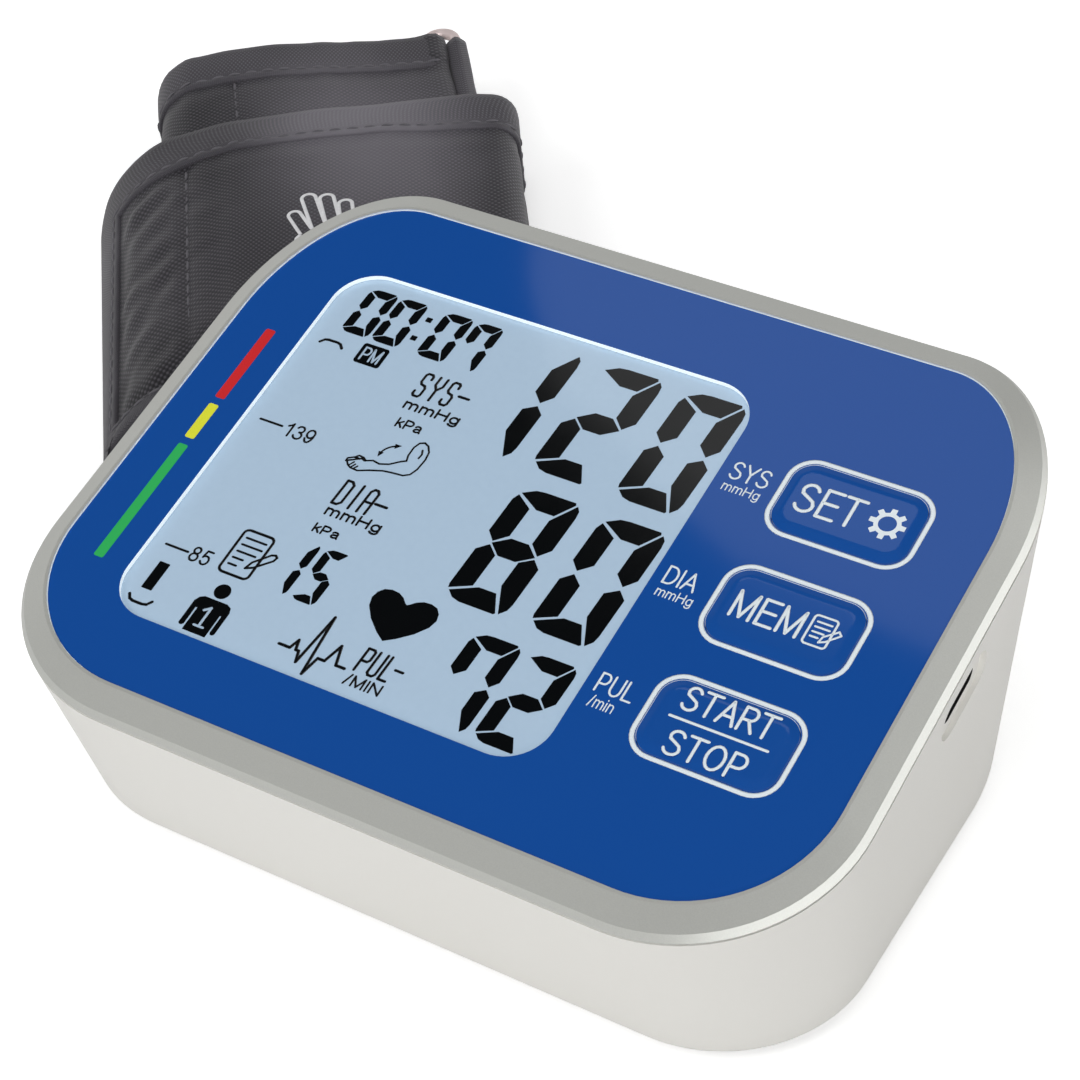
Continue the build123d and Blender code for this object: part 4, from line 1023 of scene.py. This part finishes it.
def relief(along, across, inset, seam, sewn, sizes, pitches, seed):
    """How far sewn cloth stands out: it dips and creases beside its tape, sways, and gathers at a seam."""
    dip, rise, crease, sway, tuck, gather = sizes
    crease_pitch, sway_along, sway_across, gather_pitch = pitches
    proud = rise * ease(inset, 0.2, 6) - dip if inset > -3 else -0.1
    near_tape = math.exp(-max(inset, 0) / 7) * ease(inset, -0.5, 1.5)
    proud += crease * fold_noise((along / crease_pitch, across / 11, seed)) * near_tape
    proud += sway * fold_noise((along / sway_along, across / sway_across, seed + 1)) * ease(inset, 0, 8)
    off_seam = abs(along - seam)
    proud -= tuck * math.exp(-((off_seam / 1.1) ** 2)) * sewn
    gathers = fold_noise((across / gather_pitch, along / 9, seed + 2))
    return proud + gather * gathers * math.exp(-off_seam / 4.5) * sewn


def wrap_proud(along, across):
    inset = min(across, wrap.width - across) - tape_width
    sewn = ease(inset, -1, 0.5) * ease(across, 64, 68)
    sizes, pitches = (0.32, 0.42, 0.34, 0.42, 0.55, 0.25), (4.2, 15, 21, 3.4)
    proud = relief(along, across, inset, wrap_seam, sewn, sizes, pitches, 1)
    return proud + 1.15 * math.exp(-(((along - 108) / 4) ** 2))


def wrap_spot(share, side):
    along, across = share * wrap.run.length, side * wrap.width
    return wrap.spot(along, across, wrap_proud(along, across))


cuff_wrap = cloth("cuff_wrap", 172, 80, wrap_spot, wrap.run.length, wrap.width, cloth_thickness)
far_edge = [(0.6, wrap.width, 0, -1), (wrap.run.length - 0.1, wrap.width, 0, -1)]
near_edge = [(0.6, 0, 0, 1), (wrap.run.length - 0.1, 0, 0, 1)]
wrap_tapes = [
    tape("cuff_wrap_far_tape", wrap, far_edge, 0.1),
    tape("cuff_wrap_near_tape", wrap, near_edge, 0.1),
]
wrap_threads = stitches("cuff_wrap_stitches", wrap, [
    (edge_line(far_edge, stitch_inset), 0.62, stitch_pitch),
    (edge_line(near_edge, stitch_inset), 0.62, stitch_pitch),
    ([(wrap_seam, 67), (wrap_seam, wrap.width - tape_width)], -0.02, stitch_pitch),
])
dress(cuff_wrap, nylon, "cuff")
for piece in wrap_tapes:
    dress(piece, tape_weave, "cuff")
dress(wrap_threads, thread_gray, "cuff")
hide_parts("cuff_sleeve")

# ---- Strap and flap ----
# The narrower part of the strip comes out from under the cuff, turns up at its right, and lies over it as a
# flap whose free end droops to the table.
strap_width = 71.6
strap_far_swell = [
    (-62, 0), (-55, 0.4), (-49.5, 0.2), (-41, 1.3), (-25, 1.7), (-13, 1.1), (2.5, 1), (8.7, 0.2),
    (12, 0),
]
strap_swell = [
    (-64, 0), (-59, 0.6), (-54, 0.9), (-49.7, 1.3), (-44.7, 1.9), (-40, 2.7), (-26, 2.9), (-14, 2.5),
    (-1.8, 1.1), (6, 0.4), (11, 0),
]


def strap_puff(place, height, from_far):
    inner = ease(min(from_far, strap_width - from_far), 0, 12)
    edge = between(strap_far_swell, place)
    return (edge + (between(strap_swell, place) - edge) * inner) * ease(height, 3, 15)


def strap_askew(place, height, from_far):
    held_back = max(from_far - 44, 0) * ease(place, -20, 5)
    slant = 0.020 + 0.055 * ease(place, -48, -26)
    return -slant * (from_far - held_back) * ease(height, 0.9, 9)


def strap_flare(place, height):
    return 6.5 * ease(-place, 40, 52)


under_reach, turn_up_r, riser, fold_r = 25.65, 6, 7.8, 4.5
strap = Strip(
    Run(-20, 0.75, 0).straight(under_reach).bend(turn_up_r, 90).straight(riser).bend(fold_r, 90)
    .straight(53.15).bend(22, 67).straight(5.05),
    strap_width, strap_puff, strap_askew, strap_flare,
)
strap_top = under_reach + turn_up_r * math.pi / 2 + riser + fold_r * math.pi / 2
over_bar = strap_top + 7.15
strap_seam = over_bar + 49.8
strap_corner_r = 5
near_share = 0.36
strap_edges = [
    (0.1, strap.width, 0, -1), (strap.run.length, strap.width, -1, -1),
    (strap.run.length, 0, -1, near_share), (0.1, 0, 0, near_share),
]


def strap_proud(along, across):
    inset = min(across / near_share, strap.width - across, strap.run.length - along) - tape_width
    sizes, pitches = (0.34, 0.44, 0.36, 0.45, 0.6, 0.30), (4, 16, 23, 3.6)
    proud = relief(along, across, inset, strap_seam, ease(inset, -1, 0.5), sizes, pitches, 5)
    past = ease(along, strap_seam + 1, strap_seam + 4) * ease(inset, 0, 3)
    return proud + 0.8 * past * fold_noise((along / 7 + across / 5, across / 13 - along / 19, 8))


def strap_spot(share, side):
    along, across = share * strap.run.length, side * strap.width
    side_inset = min(across, strap.width - across)
    end_inset = strap.run.length - along
    if side_inset < strap_corner_r and end_inset < strap_corner_r:
        reach = math.hypot(strap_corner_r - side_inset, strap_corner_r - end_inset)
        cloth_r = strap_corner_r - 0.4
        if reach > cloth_r:
            pull = cloth_r / reach
            along = strap.run.length - strap_corner_r + (strap_corner_r - end_inset) * pull
            from_edge = strap_corner_r - (strap_corner_r - side_inset) * pull
            across = from_edge if across < strap.width / 2 else strap.width - from_edge
    return strap.spot(along, across, strap_proud(along, across))


cuff_strap = cloth("cuff_strap", 138, 72, strap_spot, strap.run.length, strap.width, cloth_thickness)
strap_tape = tape("cuff_strap_tape", strap, strap_edges, strap_corner_r)
strap_threads = stitches("cuff_strap_stitches", strap, [
    (edge_line(strap_edges, stitch_inset), 0.62, stitch_pitch),
    (edge_line(strap_edges, stitch_inset), -0.60, stitch_pitch),
    ([(strap_seam, tape_width), (strap_seam, strap.width - tape_width)], -0.05, stitch_pitch),
])
fold_start = tuple(cuff_lie @ Vector((0.0055, 0.1088, 0.01905)))
fold_end = tuple(cuff_lie @ Vector((0.0049, 0.1088, 0.02085)))
for piece, finish in ((cuff_strap, nylon), (strap_tape, tape_weave), (strap_threads, thread_gray)):
    dress(piece, finish, "cuff", "cuff_flap", start=fold_start, end=fold_end)
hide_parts("strap_flap")

# ---- Hook and loop patches ----
# The loop patch is sewn on the cuff's back and the hook patch under the flap; the two face each other when
# it is closed. Each is a stiff woven tape with a short pile, cut square and sewn round its edge.


def patch(name, strip, first, last, low, high, base, top, pile, finish, body):
    """A sewn-on patch: from first to last along the strip, low to high across it, base to top in height."""

    def spot(share, side):
        along, across = first + (last - first) * share, low + (high - low) * side
        middle = (base + top) / 2 + pile * fold_noise((along * 1.9, across * 1.9, 9))
        return strip.spot(along, across, middle)

    piece = cloth(name, int(last - first), int(high - low), spot, last - first, high - low, abs(top - base))
    modify(piece, "BEVEL", width=0.0003, segments=2, limit_method="ANGLE", angle_limit=math.radians(60))
    dress(piece, finish, body, slot="cuff_edge")
    border = [(first, low, 1, 1), (last, low, -1, 1), (last, high, -1, -1), (first, high, 1, -1)]
    threads = stitches(name + "_stitches", strip, [(edge_line(border + border[:1], 1.6), top * 0.97, 2.6)])
    dress(threads, thread_gray, body, slot="cuff_edge")
    (last - first) / 1000
    return piece


loop_pile = Finish("loop_pile", shade(58, 56, 61), 0.95, Sheen_Weight=0.35, Sheen_Roughness=0.6)
fuzz = loop_pile.noise(1500, 4)
tuft = loop_pile.noise(260)
loop_pile.paint(fuzz * 0.6 + tuft * 0.5, shade(36, 35, 39), shade(82, 80, 86))
loop_pile.bump(fuzz * 0.7 + tuft * 0.3, 0.0004, 0.9)

hook_rows = Finish("hook_rows", shade(46, 45, 49), 0.55, Specular_IOR_Level=0.4)
row_along, row_across, _ = hook_rows.axes(hook_rows.texture("UV"))
hooks = (row_along * (math.pi / 0.9)).sine().size() * (row_across * (math.pi / 0.55)).sine().size()
hook_rows.paint(hooks, shade(34, 33, 36), shade(70, 68, 73))
hook_rows.bump(hooks, 0.0003, 0.9)

loop_first = wrap_back + 8.6
loop_patch = patch("loop_patch", wrap, loop_first, loop_first + 34, 11.9, 66, 0, 1.45, 0.12, loop_pile, "cuff")
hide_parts("loop_pad")
hook_first = strap_top + 19.5
hook_patch = patch(
    "hook_patch", strap, hook_first, strap_top + 50.5, 12.3, 59.3, -0.1, -1.5, 0.05, hook_rows, "cuff_flap"
)
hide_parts("hook_pad")

# ---- Printed hand ----
# A plain white outline of a hand, screen printed on the flap, shows which way up the cuff goes on. The ink
# is thick and matt, and follows the folds of the cloth.
print_white = Finish("cuff_print", shade(232, 232, 234), 0.6)
print_grain = print_white.noise(1800, 3)
print_white.paint(print_grain, shade(206, 206, 209), shade(240, 240, 242))
print_white.bump(print_grain, 0.00003, 0.5)


def printed(name, lines, width):
    """Lines printed on the flap, each a thin raised film along its points (across the cuff, along it)."""
    shapes = []
    for number, points in enumerate(lines):
        fine = edge_line([(over_bar - place, along - cuff_near, 0, 0) for place, along in points], 0, 0.5)

        def spot(share, side):
            position = round(share * (len(fine) - 1))
            along, across = fine[position]
            before, after = fine[max(position - 1, 0)], fine[min(position + 1, len(fine) - 1)]
            length = math.dist(before, after) or 1
            turn = math.radians(side * 360)
            reach, rise = math.cos(turn) * width / 2, math.sin(turn) * 0.05
            along += (before[1] - after[1]) / length * reach
            across += (after[0] - before[0]) / length * reach
            return strap.spot(along, across, strap_proud(along, across) + 0.42 + rise)

        shape = cloth(f"{name}_{number}", len(fine) - 1, 8, spot, 1, 1, 0)
        close_and_face_out(shape)
        shapes.append(shape)
    dress(joined(name, shapes), print_white, "cuff_flap")


def finger(root_a, root_b, tip_a, tip_b, width):
    """The outline of a finger, from one side of its root over the tip to the other."""
    heading = math.atan2(tip_b - root_b, tip_a - root_a)
    ahead_a, ahead_b = math.cos(heading) * width, math.sin(heading) * width
    turn = math.degrees(heading)
    tip = oval(tip_a - ahead_a, tip_b - ahead_b, width, width, turn + 90, turn - 90, 12)
    return [(root_a - ahead_b, root_b + ahead_a), *tip, (root_a + ahead_b, root_b - ahead_a)]


hand = (
    finger(-26.3, 103.8, -29, 110.4, 1.15) + finger(-24.2, 105.3, -26.3, 115.2, 1.25)
    + finger(-21.6, 105.4, -23, 114.6, 1.25) + finger(-19, 104.4, -19.6, 112.4, 1.2)
    + [(-17.6, 101.5)] + finger(-16.9, 97.6, -13.2, 102.8, 1.3) + [(-17.8, 92.4), (-18.6, 88.6), (-18.9, 84.9)]
)
wrist = [(-26.6, 84.9), (-26.8, 88.6), (-28, 93.4), (-28.6, 98.2), (-28.1, 102.4), hand[0]]
printed("hand_print", [wrist, hand], 0.7)
printed("hand_arrow", [[(-39.4, 80.5), (-39.4, 88.2)], [(-40.9, 86.3), (-39.4, 88.6), (-37.9, 86.3)]], 0.6)

# ---- Bladder and lining ----
# The air bladder is a flat black film bag welded round its edge; a soft lining holds it to the tube's
# floor. It holds little air, so it lies almost flat.
bladder_skin = Finish("bladder_skin", shade(38, 38, 40), 0.45)
bladder_skin.bump(bladder_skin.cloud(90, 0.36, 0.2, 4), 0.0004, 0.5)


def flat_spot(left, right, near, far, height):
    """Places the points of a flat piece, at a height worked out for each."""
    def spot(share, side):
        place, along = left + (right - left) * share, near + (far - near) * side
        return cuff_lie @ Vector((place / 1000, along / 1000, height(place, along) / 1000))
    return spot


def rim_gap(place, along, left, right, near, far):
    """The distance in from the nearest side."""
    return min(place - left, right - place, along - near, far - along)


bladder_bounds, bladder_level = (-44.7, -2.1, 80.1, 165.9), 4.1
bladder_spot = flat_spot(*bladder_bounds, lambda place, along: bladder_level)
bladder = cloth("air_bladder", 44, 80, bladder_spot, 42.6, 85.8, 1)
for vertex in bladder.data.vertices:
    local = cuff_lie.inverted() @ vertex.co * 1000
    gap = max(rim_gap(local.x, local.y, *bladder_bounds), 0)
    fat = 0.25 + 0.75 * ease(gap, 2.5, 6) + 0.08 * fold_noise((local.x / 6, local.y / 6, 3))
    local.z = bladder_level + (local.z - bladder_level) * fat
    vertex.co = cuff_lie @ local / 1000
dress(bladder, bladder_skin, "cuff", slot="bladder_film")
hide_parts("cuff_bladder")

lining_bounds = (-45.6, -0.1, 73.6, 172.9)


def lining_height(place, along):
    gap = rim_gap(place, along, *lining_bounds)
    return 3.95 + 1.12 * ease(gap, 0.4, 4) + 0.05 * fold_noise((place / 5, along / 5, 6))


lining = cloth("tube_lining", 46, 96, flat_spot(*lining_bounds, lining_height), 45.5, 99.3, 0.55)
dress(lining, nylon, "cuff")
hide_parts("cuff_lining")

# ---- Ring and its tab ----
# A long bent-wire ring, plated with a warm tint. The end of the cuff's tube is drawn up round its right bar
# in a narrow folded tab of the same tape.
ring_plate = Finish("ring_plate", shade(228, 211, 209), 0.45, Metallic=0.35)
ring_plate.paint(ring_plate.cloud(420, 0.38, 0.14, 3), shade(220, 203, 201), shade(236, 220, 218))
wear(ring_plate, "d_ring")


def tab_pinch(place, height, from_far):
    return -2.6 * ease(height, 4.5, 7) * (1 - ease(height, 10.3, 12.4)) * ease(place, 3, 4.6)


tab_width, tab_slope = 98.2, 1.394
tab_strip = Strip(
    Run(1, 2.75, 0).straight(2.6).bend(1.5, 90).straight(9.6).bend(0.8, 50).straight(tab_slope).bend(0.5, 80)
    .straight(tab_slope).bend(0.8, 50).straight(1).bend(1.2, 90).straight(1.5),
    cuff_width, askew=tab_pinch,
)


def tab_spot(share, side):
    along, across = share * tab_strip.run.length, 1.2 + side * tab_width
    return tab_strip.spot(along, across, 0.10 * fold_noise((along / 5, across / 6, 2.5)))


tab = cloth("ring_loop", 60, 64, tab_spot, tab_strip.run.length, tab_width, cloth_thickness)
dress(tab, tape_weave, "cuff")
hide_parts("ring_tab")
